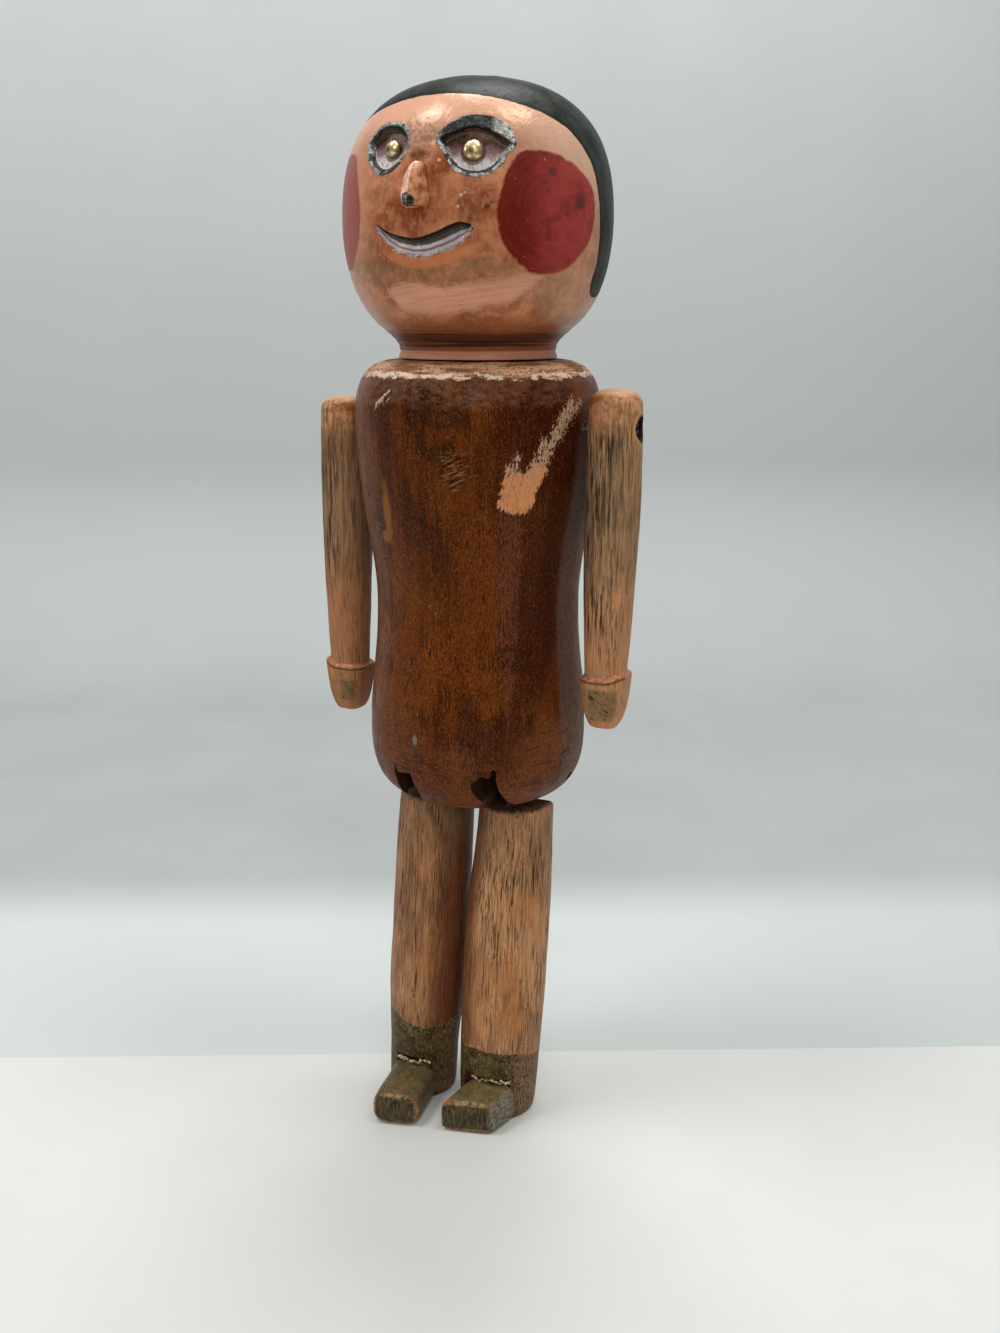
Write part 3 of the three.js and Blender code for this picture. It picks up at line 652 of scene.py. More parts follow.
    # carving: silver and black paint, thick and broken, with painted shade high in the eye sockets
    lumpy = f.clouds(1.0, detail=5, roughness=0.7, seed=22)
    silver = f.mix(
        (118, 122, 118), (200, 200, 194),
        f.spots(1.3, 0.4, 0.62, detail=4, roughness=0.65, seed=23),
    )
    black = f.mix((18, 20, 19), (46, 52, 48), f.spots(0.8, 0.4, 0.6, detail=3, seed=24))
    broken = f.mix(silver, black, f.spots(2.8, 0.52, 0.6, detail=5, roughness=0.65, seed=25))
    eye = f.field("eye")
    fall = f.field("fall")
    # each socket is painted dark high up, as painted shade under the brow, and pale low down, which
    # is silver paint and painted light together where its floor faces up
    high = f.rise(f.ragged(fall, 0.14, 2.0, seed=26), 0.4, 0.62)
    low = f.rise(f.ragged(fall, 0.1, 1.6, seed=27), 0.42, 0.2)
    socket = f.mix((120, 92, 92), (44, 24, 22), high)
    pin_ring = f.band(f.ragged(f.field("pin_ring"), 0.12, 0.8, seed=49), 2.0, 2.75, 0.2)
    socket = f.layers(
        socket,
        ((212, 208, 208), low, 0.85),
        ((92, 72, 74), f.spots(0.8, 0.5, 0.64, (1, 1, 2), detail=4, seed=28), 0.5),
        ((58, 32, 26), pin_ring, 0.8),
    )
    colour = f.layers(colour, (socket, f.rise(eye, -0.1, 0.25)))
    rim = f.band(f.ragged(f.ragged(eye, 0.5, 2.4, seed=29), 0.3, 0.8, seed=30), -0.7, 0.35, 0.16)
    colour = f.layers(colour, (broken, rim))
    line = f.times(
        f.band(f.ragged(eye, 0.14, 1.5, seed=31), 0.05, 0.42, 0.15), f.rise(fall, 0.42, 0.2),
    )
    colour = f.layers(colour, ((14, 15, 15), line, 0.9))
    # a painted shadow just inside each eye's rim, under the brow
    painted_brow_shadow = f.times(
        f.band(f.ragged(eye, 0.2, 2, seed=32), 0.1, 1.0, 0.3), f.rise(fall, 0.5, 0.72),
    )
    colour = f.layers(colour, ((20, 14, 12), painted_brow_shadow, 0.9))
    lid = f.patch("lid", -0.15, 0.2, 0.35, 1.2, seed=33)
    mottled = f.layers(
        f.mix((160, 162, 154), (224, 222, 212), f.rise(lumpy, 0.48, 0.58)),
        ((70, 76, 72), f.spots(0.8, 0.56, 0.64, detail=5, roughness=0.7, seed=34)),
    )
    green = f.mix(
        (34, 38, 34),
        (92, 98, 90),
        f.spots(1.0, 0.5, 0.62, (1, 1, 0.6), detail=5, roughness=0.7, seed=35),
    )
    brow = f.mix(green, mottled, f.rise(f.ragged(aside, 1.4, 2.0, seed=36), 13.4, 15.4))
    colour = f.layers(colour, (brow, lid))
    dusty = f.times(f.patch("bridge", -0.6, 1.4, 1.0, 1.8, seed=37), f.rise(lumpy, 0.44, 0.6))
    colour = f.layers(colour, ((112, 96, 82), dusty, 0.75))
    # mouth
    mouth = f.field("mouth")
    drop = f.field("drop")
    groove = f.rise(f.ragged(mouth, 0.1, 1.0, seed=38), -0.12, 0.12)
    lip = f.layers(
        f.mix((196, 182, 182), (74, 76, 72), f.rise(f.ragged(drop, 0.08, 1.4, seed=39), 0.5, 0.6)),
        ((104, 88, 88), f.band(f.ragged(drop, 0.05, 1.6, seed=40), 0.26, 0.34, 0.05), 0.8),
        ((20, 20, 19), f.rise(f.ragged(drop, 0.07, 1.5, seed=41), 0.74, 0.88)),
    )
    rough_lip = f.mix(
        (166, 158, 156),
        (40, 42, 41),
        f.spots(0.7, 0.52, 0.6, (1, 1, 0.6), detail=4, roughness=0.6, seed=42),
    )
    lip = f.layers(lip, (rough_lip, f.rise(f.ragged(drop, 0.05, 1.0, seed=43), 0.16, 0.04), 0.8))
    colour = f.layers(colour, (lip, groove))
    lip_edge = f.times(
        f.band(f.ragged(mouth, 0.2, 1.6, seed=44), -0.4, -0.05, 0.12), f.rise(drop, 0.55, 0.35),
    )
    colour = f.layers(colour, (rough_lip, lip_edge, f.spots(1.6, 0.42, 0.56, detail=4, seed=50)))
    below = f.times(f.band(mouth, -2.2, -0.6, 0.7), f.rise(height, 223.0, 220.5))
    colour = f.layers(colour, ((212, 122, 72), below, 0.55))
    notch = f.patch("notch", -0.3, 0.5, 0.4, 1.2, seed=45)
    colour = f.layers(
        colour,
        ((96, 54, 34), notch, 0.7),
        ((62, 38, 24), f.patch("mole", -0.1, 0.4, 0.3, 0.8, seed=46), 0.8),
    )
    f.relief(
        (hair, 0.3),
        (f.clouds(0.45, (1, 1, 6), detail=2, seed=47), 0.012),
        (f.clouds(2.2, detail=3, roughness=0.5, seed=48), 0.13),
        (f.spots(0.7, 0.62, 0.72, detail=2, seed=96), 0.05),
        (f.times(f.most(rim, lid), lumpy), 0.9),
        (f.times(inside, brushed), 0.08),
        (f.times(swathe, bristles), 0.12),
        (f.times(chips, -1.0), 0.1),
    )
    matt = f.most(f.times(inside, 0.8), f.most(f.times(hair, 0.85), f.most(neck, swathe)))
    roughness = f.blend(f.plus(0.19, f.times(f.rise(patches, 0.3, 0.7), 0.08)), 0.42, matt)
    metal = f.times(f.most(f.most(rim, lid), groove), 0.25)
    tint = f.mix((255, 206, 168), (255, 255, 255), f.most(hair, f.most(rim, lid)))
    return f.done(
        colour,
        roughness,
        metallic=metal,
        specular=f.blend(f.blend(0.55, 0.22, inside), 0.06, hair),
        tint=tint,
    )


def varnish_finish():
    """Brown varnish over fine upright grain, with flesh paint left on the shoulders."""
    f = Finish("varnished wood")
    height = f.level("Z")
    broad = f.clouds(15, (1, 1, 2.0), detail=3, seed=51)
    streaks = f.clouds(2.0, (1, 1, 16), detail=4, roughness=0.6, seed=52)
    shade = f.plus(f.times(broad, 0.6), f.times(streaks, 0.4))
    colour = f.mix((56, 17, 1), (108, 49, 10), f.rise(shade, 0.38, 0.6))
    golden = f.times(
        f.spots(11, 0.46, 0.64, (1, 1, 1.3), detail=3, seed=53), f.rise(height, 165, 120),
    )
    colour = f.layers(colour, ((120, 60, 14), golden, 0.7))
    # the side away from the smear is paler, and rubbed pinkish grey
    right = f.rise(f.ragged(f.level("X"), 3, 10, (1, 1, 2), seed=54), -9, -25)
    colour = f.layers(colour, ((124, 72, 38), right, 0.6))
    red = f.patch("red", -2, 4, 3.0, 10, (1, 1, 2.5), seed=55)
    colour = f.layers(colour, ((56, 9, 2), red, 0.9))
    dark = f.times(
        f.patch("dark", -0.9, 1.0, 1.6, 3.5, seed=56),
        f.spots(1.2, 0.36, 0.56, detail=5, roughness=0.7, seed=87),
    )
    colour = f.layers(colour, ((30, 17, 8), dark, 0.8))
    hip = f.times(
        f.rise(f.ragged(height, 4, 9, seed=57), 116, 101), f.spots(7, 0.34, 0.6, detail=3, seed=58),
    )
    colour = f.layers(colour, ((112, 62, 38), hip, 0.65))
    strip = f.patch("strip", -0.6, 1.6, 1.6, 5, (1, 1, 3), seed=59)
    colour = f.layers(colour, ((104, 56, 40), strip, 0.7))
    swirl = f.times(
        f.patch("swirl", -0.6, 0.8, 2.0, 3, seed=60),
        f.spots(1.6, 0.42, 0.56, detail=4, warp=2.0, seed=61),
    )
    colour = f.layers(colour, ((40, 14, 10), swirl, 0.85))
    grey = f.patch("grey_side", -0.5, 2.0, 1.5, 6, (1, 1, 3), seed=62)
    colour = f.layers(colour, ((112, 90, 76), grey, 0.7))
    # grain: fine specks of light and dark, pores in columns, lathe lines near the seat
    specks = f.clouds(0.3, (1, 1, 2.2), detail=4, roughness=0.75, seed=63)
    colour = f.layers(
        colour,
        ((34, 13, 6), f.rise(specks, 0.5, 0.6), 0.6),
        ((170, 104, 52), f.rise(specks, 0.47, 0.36), 0.34),
    )
    grain = f.clouds(0.26, (1, 1, 13), detail=3, roughness=0.6, seed=64)
    columns = f.spots(4.5, 0.42, 0.6, (1, 1, 5), detail=3, seed=65)
    pores = f.times(f.rise(grain, 0.55, 0.63), f.blend(0.25, 0.95, f.most(columns, strip)))
    colour = f.layers(colour, ((24, 11, 7), pores))
    lathe = f.clouds(0.34, (30, 30, 1), detail=3, roughness=0.6, seed=66)
    turned = f.times(
        f.rise(lathe, 0.54, 0.64),
        f.blend(
            0.12,
            0.75,
            f.times(f.rise(height, 118, 106), f.spots(5, 0.4, 0.55, (1, 1, 0.5), seed=67)),
        ),
    )
    colour = f.layers(colour, ((36, 18, 12), turned))
    # a painted reflection under the shoulder edge, then scratches and small marks
    painted_reflection = f.times(
        f.band(f.ragged(height, 2.2, 5, seed=68), 189.0, 194.5, 1.6),
        f.spots(2.4, 0.38, 0.62, (1, 1, 0.5), detail=5, roughness=0.65, seed=69),
    )
    colour = f.layers(colour, ((128, 90, 74), painted_reflection, 0.36))
    scratches = f.spots(0.26, 0.77, 0.79, (1, 1, 9), detail=1, seed=70, turn=(0, 38, 0))
    colour = f.layers(colour, ((206, 178, 150), scratches, 0.45))
    lines = f.clouds(0.3, (8, 8, 1), detail=2, roughness=0.6, seed=71, turn=(0, -22, 0))
    scored = f.patch("scored", -0.6, 2.2, 2.6, 2, seed=72)
    colour = f.layers(
        colour,
        ((20, 11, 8), scored, f.rise(lines, 0.52, 0.58)),
        ((150, 112, 84), scored, f.rise(lines, 0.44, 0.39), 0.6),
    )
    marks = f.patch("pale_marks", -0.1, 0.2, 0.4, 0.7, seed=73)
    colour = f.layers(colour, ((220, 190, 166), marks, 0.9))
    spot = f.patch("grey_spot", -0.1, 0.4, 0.4, 0.9, seed=74)
    colour = f.layers(colour, ((124, 116, 108), spot, 0.85))
    ochre = f.patch("ochre", -0.4, 0.8, 0.8, 2, (1, 1, 3), seed=75)
    colour = f.layers(colour, ((142, 92, 32), ochre, 0.7))
    # flesh paint on the shoulders, ending in a ragged pale edge
    above = f.plus(height, -194.4)
    edge = f.ragged(f.ragged(above, 1.3, 5, (1, 1, 0.6), seed=76), 0.6, 1.1, seed=77)
    old_paint = f.layers(
        f.mix(
            (226, 172, 132),
            (150, 100, 70),
            f.spots(0.9, 0.42, 0.62, (10, 10, 1), detail=4, seed=78),
        ),
        ((52, 38, 30), f.spots(0.4, 0.52, 0.62, (1, 14, 1), detail=4, roughness=0.6, seed=79), 0.8),
    )
    shoulder = f.rise(edge, -0.25, 0.2)
    colour = f.layers(colour, (old_paint, shoulder, 0.94))
    crest = f.times(
        f.band(edge, -0.2, 0.8, 0.2),
        f.spots(3.4, 0.47, 0.56, (1, 1, 0.6), detail=5, roughness=0.7, seed=80),
    )
    colour = f.layers(colour, ((240, 214, 190), crest, 0.95))
    # the smear on the chest, brushed thin towards the shoulder
    bristle = f.clouds(0.34, (1, 1, 12), detail=3, roughness=0.6, seed=81, turn=(0, 32, 0))
    thin = f.rise(height, 169.5, 180)
    body = f.ragged(f.ragged(f.field("smear"), 0.7, 1.6, seed=82), 0.3, 0.5, seed=83)
    smear = f.rise(
        f.plus(body, f.times(f.plus(bristle, -0.52), f.blend(3.2, 8.0, thin))), -0.1, 0.2,
    )
    smear_paint = f.layers(
        f.mix(
            (212, 138, 88),
            (172, 140, 112),
            f.rise(
                f.plus(f.times(thin, 0.55), f.clouds(1.8, (1, 1, 2), detail=3, seed=84)), 0.55,
                0.85,
            ),
        ),
        ((226, 160, 112), f.rise(bristle, 0.5, 0.64), 0.4),
    )
    colour = f.layers(colour, (smear_paint, smear))
    f.relief(
        (smear, 0.2),
        (shoulder, 0.18),
        (f.times(pores, -1.0), 0.12),
        (f.times(turned, -1.0), 0.08),
        (streaks, 0.1),
        (f.clouds(2.6, detail=5, roughness=0.6, seed=85), 0.22),
    )
    worn = f.spots(5, 0.4, 0.66, (1, 1, 1.4), detail=5, seed=86)
    dull = f.most(
        f.most(shoulder, smear), f.most(f.times(f.most(grey, hip), 0.8), f.times(worn, 0.5)),
    )
    tint = f.mix((255, 190, 140), (255, 238, 222), f.most(shoulder, f.most(smear, painted_reflection)))
    return f.done(colour, f.blend(0.26, 0.6, dull), specular=0.2, tint=tint)


def worn_flesh(f, light, deep, seed, lean=0):
    """Flesh paint worn down to grey grain: its colour, how worn it is, and its fibres."""
    along = (-lean, 0, 0)
    broad = f.clouds(8, (1, 1, 2.2), detail=4, roughness=0.6, seed=seed)
    colour = f.mix(deep, light, f.rise(broad, 0.38, 0.62))
    fibre = f.clouds(0.8, (1, 1, 14), detail=5, roughness=0.65, seed=seed + 1, turn=along)
    colour = f.layers(colour, ((140, 112, 80), f.rise(fibre, 0.46, 0.62), 0.55))
    where = f.spots(5, 0.4, 0.6, (1, 1, 2.5), detail=4, roughness=0.6, seed=seed + 3)
    fine = f.clouds(0.3, (1, 1, 20), detail=3, roughness=0.6, seed=seed + 2, turn=along)
    dark = f.times(f.rise(fine, 0.51, 0.62), f.blend(0.25, 0.9, where))
    colour = f.layers(
        colour,
        ((56, 44, 32), dark),
        ((214, 160, 116), f.rise(fine, 0.46, 0.36), 0.35),
    )
    specks = f.clouds(0.34, (1, 1, 1.6), detail=3, roughness=0.7, seed=seed + 16)
    colour = f.layers(colour, ((66, 44, 28), f.rise(specks, 0.56, 0.66), 0.5))
    long = f.clouds(0.5, (1, 1, 34), detail=2, seed=seed + 4, turn=along)
    split = f.times(f.rise(long, 0.64, 0.68), f.blend(0.35, 1.0, where))
    colour = f.layers(colour, ((30, 23, 18), split, 0.85))
    flecks = f.spots(0.8, 0.74, 0.78, detail=2, seed=seed + 5)
    colour = f.layers(colour, ((222, 164, 122), flecks, 0.7))
    return colour, dark, split, fibre


def arm_finish(name, seed, light, deep):
    f = Finish(name)
    colour, dark, split, fibre = worn_flesh(f, light, deep, seed)
    top = f.field("from_top")
    kept_low = f.times(f.rise(f.ragged(top, 6, 6, (1, 1, 2), seed=seed + 24), 30, 46), 0.42)
    colour = f.layers(colour, (light, kept_low))
    # grey and black wood where the paint has gone from the upper half
    bare = f.times(f.patch("bare", -2.0, 3.0, 5.0, 4, (1, 1, 2.5), seed=seed + 15), 0.62)
    colour = f.layers(colour, (f.mix((146, 120, 90), (86, 70, 52), f.rise(fibre, 0.42, 0.6)), bare))
    soot = f.clouds(0.6, (1, 1, 18), detail=4, roughness=0.65, seed=seed + 17)
    streak = f.times(
        f.rise(soot, 0.51, 0.58), f.patch("sooty", -1.2, 1.5, 1.6, 4, (1, 1, 3), seed=seed + 18),
    )
    colour = f.layers(colour, ((28, 25, 20), streak, 0.9))
    paint = f.mix(
        (206, 146, 106),
        (166, 108, 72),
        f.spots(2.2, 0.42, 0.6, detail=5, roughness=0.6, seed=seed + 6),
    )
    kept = f.rise(f.ragged(top, 4.5, 3.2, (1, 1, 2.2), seed=seed + 7), 11, 5)
    colour = f.layers(colour, (paint, kept, f.rise(fibre, 0.62, 0.46)))
    varnish = f.patch("inner_top", -0.4, 0.5, 0.8, 1.6, seed=seed + 8)
    colour = f.layers(colour, ((146, 78, 14), varnish, 0.85))
    pale = f.times(f.rise(f.ragged(top, 1.0, 2, seed=seed + 9), 1.8, 0.3), 0.7)
    colour = f.layers(colour, ((228, 184, 146), pale))
    rim = f.patch("wrist_rim", -0.22, 0.15, 0.16, 0.7, seed=seed + 10)
    colour = f.layers(
        colour,
        (f.mix((218, 152, 114), (186, 112, 78), f.spots(1.0, 0.4, 0.6, seed=seed + 19)), rim, 0.95),
    )
    under = f.patch("under_rim", -0.2, 0.25, 0.15, 0.8, seed=seed + 20)
    colour = f.layers(colour, ((58, 34, 20), under, 0.75))
    hand = f.patch("scribbled", -0.6, 0.8, 0.6, 1.5, seed=seed + 21)
    colour = f.layers(
        colour,
        (
            f.mix((118, 96, 62), (88, 78, 50), f.spots(1.6, 0.4, 0.6, detail=4, seed=seed + 12)),
            hand, 0.75,
        ),
    )
    scribble = f.clouds(0.55, (5, 5, 1), detail=3, roughness=0.6, seed=seed + 11, turn=(0, 33, 0))
    colour = f.layers(
        colour,
        ((36, 28, 20), hand, f.rise(scribble, 0.55, 0.6), f.spots(1.4, 0.4, 0.52, seed=seed + 22)),
    )
    tip = f.times(f.rise(f.field("from_tip"), 3.2, 0.6), 0.5)
    colour = f.layers(colour, ((176, 108, 76), tip))
    hole = f.patch("screw_ring", -0.3, 0.3, 0.25, 0.8, seed=seed + 13)
    colour = f.layers(colour, ((34, 27, 20), hole, 0.95))
    chipped = f.band(f.ragged(f.field("screw_ring"), 0.3, 1.0, seed=seed + 23), -0.9, -0.3, 0.2)
    colour = f.layers(colour, ((184, 152, 112), chipped, 0.7))
    f.relief(
        (fibre, 0.12),
        (f.times(dark, -1.0), 0.1),
        (f.times(split, -1.0), 0.18),
        (rim, 0.15),
        (f.clouds(1.7, detail=5, roughness=0.6, seed=seed + 14), 0.2),
    )
    rough = f.blend(0.5, 0.3, f.most(kept, varnish))
    return f.done(colour, f.plus(rough, f.times(dark, 0.2)), specular=0.28, tint=(255, 222, 190))


def boot_colour(f, seed):
    """Olive-brown boot paint, with the flesh showing through where it is thin."""
    base = f.mix(
        (54, 44, 22), (98, 80, 46), f.spots(3.0, 0.38, 0.62, detail=5, roughness=0.65, seed=seed),
    )
    speckle = f.clouds(0.42, (1, 1, 2.2), detail=4, roughness=0.75, seed=seed + 1)
    base = f.layers(base, ((24, 20, 12), f.rise(speckle, 0.5, 0.6), 0.8))
    return (f.mix(base, (146, 122, 78), f.times(f.rise(speckle, 0.45, 0.36), 0.6)), speckle)


def leg_finish(name, seed, light, deep):
    f = Finish(name)
    height = f.level("Z")
    colour, dark, split, fibre = worn_flesh(f, light, deep, seed, LEG_LEAN)
    orange = f.rise(
        f.ragged(
            f.ragged(f.field("orange"), 4.5, 4, (1, 1, 1.6), seed=seed + 6), 2.0, 1.0,
            seed=seed + 23,
        ),
        -2.0,
        2.0,
    )
    colour = f.layers(colour, ((192, 124, 72), orange, 0.5))
    # the side that faces the other leg is painted darker red-brown: painted shade between the legs
    shaded_inner_side = f.patch("shaded_inner_side", -1.5, 3.5, 1.6, 6, (1, 1, 2), seed=seed + 7)
    colour = f.layers(colour, ((92, 42, 16), shaded_inner_side, 0.8))
    grey = f.times(
        f.rise(height, 60, 78),
        f.spots(4.5, 0.36, 0.66, (1, 1, 1.8), detail=5, roughness=0.65, seed=seed + 8),
    )
    colour = f.layers(colour, ((132, 108, 82), grey, 0.5))
    upper = f.rise(f.ragged(height, 7, 5, (1, 1, 2), seed=seed + 24), 38, 64)
    lines = f.spots(
        0.34, 0.56, 0.64, (1, 1, 50), detail=3, roughness=0.5, seed=seed + 22,
        turn=(-LEG_LEAN, 0, 0),
    )
    colour = f.layers(colour, ((44, 31, 22), lines, upper, 0.8))
    # painted shade on the leg's top face and just under its edge, where it sits under the seat
    seat_shade = f.patch("below_top", 0.8, -0.4, 0.5, 1.6, seed=seed + 9)
    colour = f.layers(colour, ((34, 22, 14), seat_shade, 0.9))
    long_split = f.patch("crack", -0.12, 0.1, 0.16, 2.0, (1, 1, 3), seed=seed + 17)
    colour = f.layers(colour, ((26, 18, 12), long_split, 0.9))
    dent = f.field("dents")
    ring = f.band(f.ragged(dent, 0.7, 0.9, seed=seed + 18), -0.5, -0.2, 0.15)
    pit = f.rise(f.ragged(dent, 1.1, 0.6, (1, 1, 0.6), seed=seed + 19), 0.4, 0.6)
    colour = f.layers(
        colour,
        ((206, 150, 108), ring, 0.35),
        ((34, 22, 14), pit, 0.8),
    )
    dirt = f.times(
        f.spots(0.8, 0.67, 0.71, (1, 1, 1.6), detail=5, roughness=0.7, seed=seed + 10),
        f.rise(height, 66, 44),
    )
    colour = f.layers(colour, ((40, 26, 18), dirt, 0.7))
    edge = f.ragged(f.ragged(f.field("boot_top"), 0.5, 3, seed=seed + 11), 0.4, 0.7, seed=seed + 12)
    boot, speckle = boot_colour(f, seed + 13)
    leather = f.rise(edge, 0.12, -0.12)
    drips = f.times(
        f.spots(0.9, 0.66, 0.7, (1, 1, 0.8), detail=2, seed=seed + 20),
        f.band(f.field("boot_top"), -3.5, 2.5, 0.8),
    )
    colour = f.layers(colour, (boot, leather))
    rusty = f.times(leather, f.patch("outer", 5.5, 9, 1.5, 3, seed=seed + 21))
    colour = f.layers(
        colour,
        ((138, 104, 74), rusty, f.rise(speckle, 0.6, 0.4)),
        ((214, 176, 138), drips, 0.7),
    )
    f.relief(
        (fibre, 0.13),
        (f.times(dark, -1.0), 0.1),
        (f.times(f.most(split, long_split), -1.0), 0.26),
        (f.times(pit, -1.0), 0.3),
        (ring, 0.1),
        (leather, 0.08),
        (f.clouds(1.6, detail=5, roughness=0.6, seed=seed + 15), 0.2),
    )
    rough = f.blend(f.blend(0.48, 0.66, dark), 0.5, leather)
    return f.done(colour, rough, specular=0.28, tint=(255, 224, 196))


def foot_finish(name, seed):
    f = Finish(name)
    base, speckle = boot_colour(f, seed)
    colour = f.mix(base, (134, 112, 76), 0.22)
    end = f.rise(f.field("toe"), 0.9, 0.3)
    toe_grain = f.clouds(0.34, (1, 1, 6), detail=3, roughness=0.6, seed=seed + 2)
    colour = f.layers(
        colour,
        ((54, 50, 32), end, 0.55),
        ((24, 22, 15), f.rise(toe_grain, 0.5, 0.6), 0.85, end),
        ((128, 112, 78), f.rise(toe_grain, 0.44, 0.36), 0.5, end),
    )
    edge = f.field("edge")
    pale = f.rise(f.ragged(edge, 0.4, 1.4, seed=seed + 4), 1.0, 0.35)
    colour = f.layers(
        colour, ((170, 146, 108), f.spots(1.2, 0.38, 0.58, detail=4, seed=seed + 11), 0.75, pale),
    )
    near = f.rise(f.ragged(edge, 0.3, 1.2, seed=seed + 3), 0.65, 0.2)
    bare = f.mix((112, 50, 16), (186, 100, 40), f.spots(1.0, 0.4, 0.6, seed=seed + 5))
    colour = f.layers(colour, (bare, near, f.spots(2.0, 0.38, 0.5, detail=4, seed=seed + 6)))
    corner = f.rise(
        f.ragged(f.ragged(f.field("rubbed"), 1.0, 1.4, seed=seed + 7), 0.5, 0.5, seed=seed + 12),
        0.6,
        1.5,
    )
    colour = f.layers(colour, ((178, 92, 30), corner, 0.75))
    scuff = f.patch("scuffed", -0.8, 0.9, 1.0, 1.8, seed=seed + 8)
    chalk = f.mix(
        (88, 80, 64),
        (150, 144, 128),
        f.spots(0.9, 0.4, 0.62, detail=5, roughness=0.7, seed=seed + 9),
    )
    colour = f.layers(colour, (chalk, scuff, 0.8))
    f.relief(
        (speckle, 0.12),
        (f.times(end, toe_grain), 0.12),
        (f.clouds(2.0, detail=5, roughness=0.6, seed=seed + 10), 0.25),
    )
    return f.done(colour, f.blend(0.42, 0.6, scuff), specular=0.3, tint=(255, 230, 200))


def nose_finish():
    f = Finish("nose paint")
    # the nose is painted darker on its right and light on its left facet: painted shade and painted
    # light on the wedge
    colour = f.mix((150, 84, 50), (206, 140, 104), f.spots(2.0, 0.38, 0.6, detail=4, seed=90))
    left = f.rise(f.field("lit_facet"), -0.15, 0.15)
    colour = f.layers(
        colour,
        (
            f.mix((252, 210, 186), (224, 164, 138), f.spots(1.2, 0.42, 0.6, detail=4, seed=89)),
            left, 0.95,
        ),
        ((82, 48, 32), f.spots(0.5, 0.58, 0.68, (1, 1, 6), detail=2, seed=91), 0.5),
    )
    tip = f.rise(
        f.ragged(f.ragged(f.field("tip"), 0.7, 1.4, seed=92), 0.35, 0.5, seed=88), -0.15, 0.2,
    )
    colour = f.layers(
        colour,
        (f.mix((24, 24, 24), (130, 128, 124), f.spots(0.8, 0.52, 0.64, detail=4, seed=93)), tip),
    )
    # painted shade round the foot of the nose, where it meets the face
    root = f.patch("root", 0.2, -0.1, 0.2, 0.8, seed=94)
    colour = f.layers(colour, ((70, 42, 28), root, 0.75))
    f.relief((f.clouds(1.0, detail=4, seed=95), 0.14))
    return f.done(colour, 0.2, specular=0.42, tint=(255, 214, 180))


def metal_finish(name, light, dark, size, roughness, seed):
    f = Finish(name)
    tarnish = f.clouds(size, detail=5, roughness=0.6, seed=seed)
    spread = f.rise(tarnish, 0.4, 0.64)
    colour = f.mix(light, dark, spread)
    # the domes of the pins are darkened near their middle: a painted reflection of a dark room
    centre = f.patch("centre", 0.95, 0.35, 0.15, 0.8, seed=seed + 1)
    colour = f.layers(colour, ((74, 52, 22), centre, 0.8))
    f.relief((tarnish, 0.03))
    return f.done(colour, f.blend(roughness, roughness + 0.3, spread), metallic=1.0)


def bare_wood_finish(name, light, dark, seed):
    f = Finish(name)
    fibre = f.clouds(0.5, (1, 1, 9), detail=4, seed=seed)
    colour = f.layers(
        f.mix(light, dark, f.rise(fibre, 0.38, 0.64)),
        (dark, f.spots(2.5, 0.42, 0.6, detail=4, seed=seed + 1), 0.6),
    )
    f.relief((fibre, 0.2))
    return f.done(colour, 0.75, specular=0.2)


def glue_finish():
    f = Finish("old glue")
    flecks = f.clouds(0.7, detail=4, seed=97)
    colour = f.mix((206, 190, 148), (120, 98, 60), f.rise(flecks, 0.42, 0.62))
    f.relief((flecks, 0.15))
    return f.done(colour, 0.55, specular=0.4)


HEAD_PAINT = head_finish()
VARNISH = varnish_finish()
NOSE_PAINT = nose_finish()
SLOT_WOOD = bare_wood_finish("wood inside the slots", (74, 36, 18), (24, 12, 7), 98)
BARE_WOOD = bare_wood_finish("bare wood", (200, 164, 118), (150, 108, 68), 99)
BRASS = metal_finish("brass", (236, 216, 176), (160, 126, 66), 0.9, 0.26, 100)
STEEL = metal_finish("old steel", (120, 112, 100), (62, 50, 40), 1.1, 0.38, 101)
GLUE = glue_finish()


# Torso


def even_turns(fine_from, fine_to, fine_step, coarse_step):
    """Azimuths round the whole doll, closer together where there is carving."""
    fine = np.arange(fine_from, fine_to, fine_step)
    rest = 360 - (fine_to - fine_from)
    coarse = fine_to + rest * np.arange(round(rest / coarse_step)) / round(rest / coarse_step)
    return np.r_[fine, coarse]


def on_cylinder(azimuth, height, radius):
    """Points on a cylinder, where random values for a turned surface are read."""
    angle = np.radians(azimuth)
    return np.stack([radius * np.sin(angle), -radius * np.cos(angle), height], -1)


def torso_offset(azimuth, height):
    """Handling has left the turned surface a little uneven."""
    around = on_cylinder(azimuth, height, 30)
    return -0.12 - 0.1 * lumps(around, 16, 1) - 0.04 * lumps(around, 5, 2)


def block(name, outline, axis, start, stop, material):
    """A closed block between two planes across an axis, 0 for X or 1 for Y. Its outline is
    in the other two."""
    x, y = np.array(outline, float).T
    points = np.concatenate([np.insert(outline, axis, level, axis=1) for level in (start, stop)])
    count = len(outline)
    sides = [(i, count + i, count + (i + 1) % count, (i + 1) % count) for i in range(count)]
    faces = sides + [tuple(range(count)), tuple(range(count, 2 * count))[::-1]]
    anticlockwise = np.sum(x * np.roll(y, -1) - np.roll(x, -1) * y) > 0
    if anticlockwise == (axis == 0):
        faces = [face[::-1] for face in faces]
    return make_piece(name, points, faces, [material])


def slot_cutters():
    """Each slot is a straight cut up into the seat, broken open at its front edge."""
    cutters = []
    low, high = 80.0, 98.0
    for side, outline in BROKEN_SLOTS.items():
        x, half = SIDES[side] * HIP_PIN[0], SLOT_HALF_WIDTH
        square = [(x - half, low), (x + half, low), (x + half, high), (x - half, high)]
        cutters.append(block("slot", square, 1, -15.0, 60.0, SLOT_WOOD))
        cutters.append(block("broken slot", outline, 1, -60.0, -12.0, SLOT_WOOD))
    return cutters


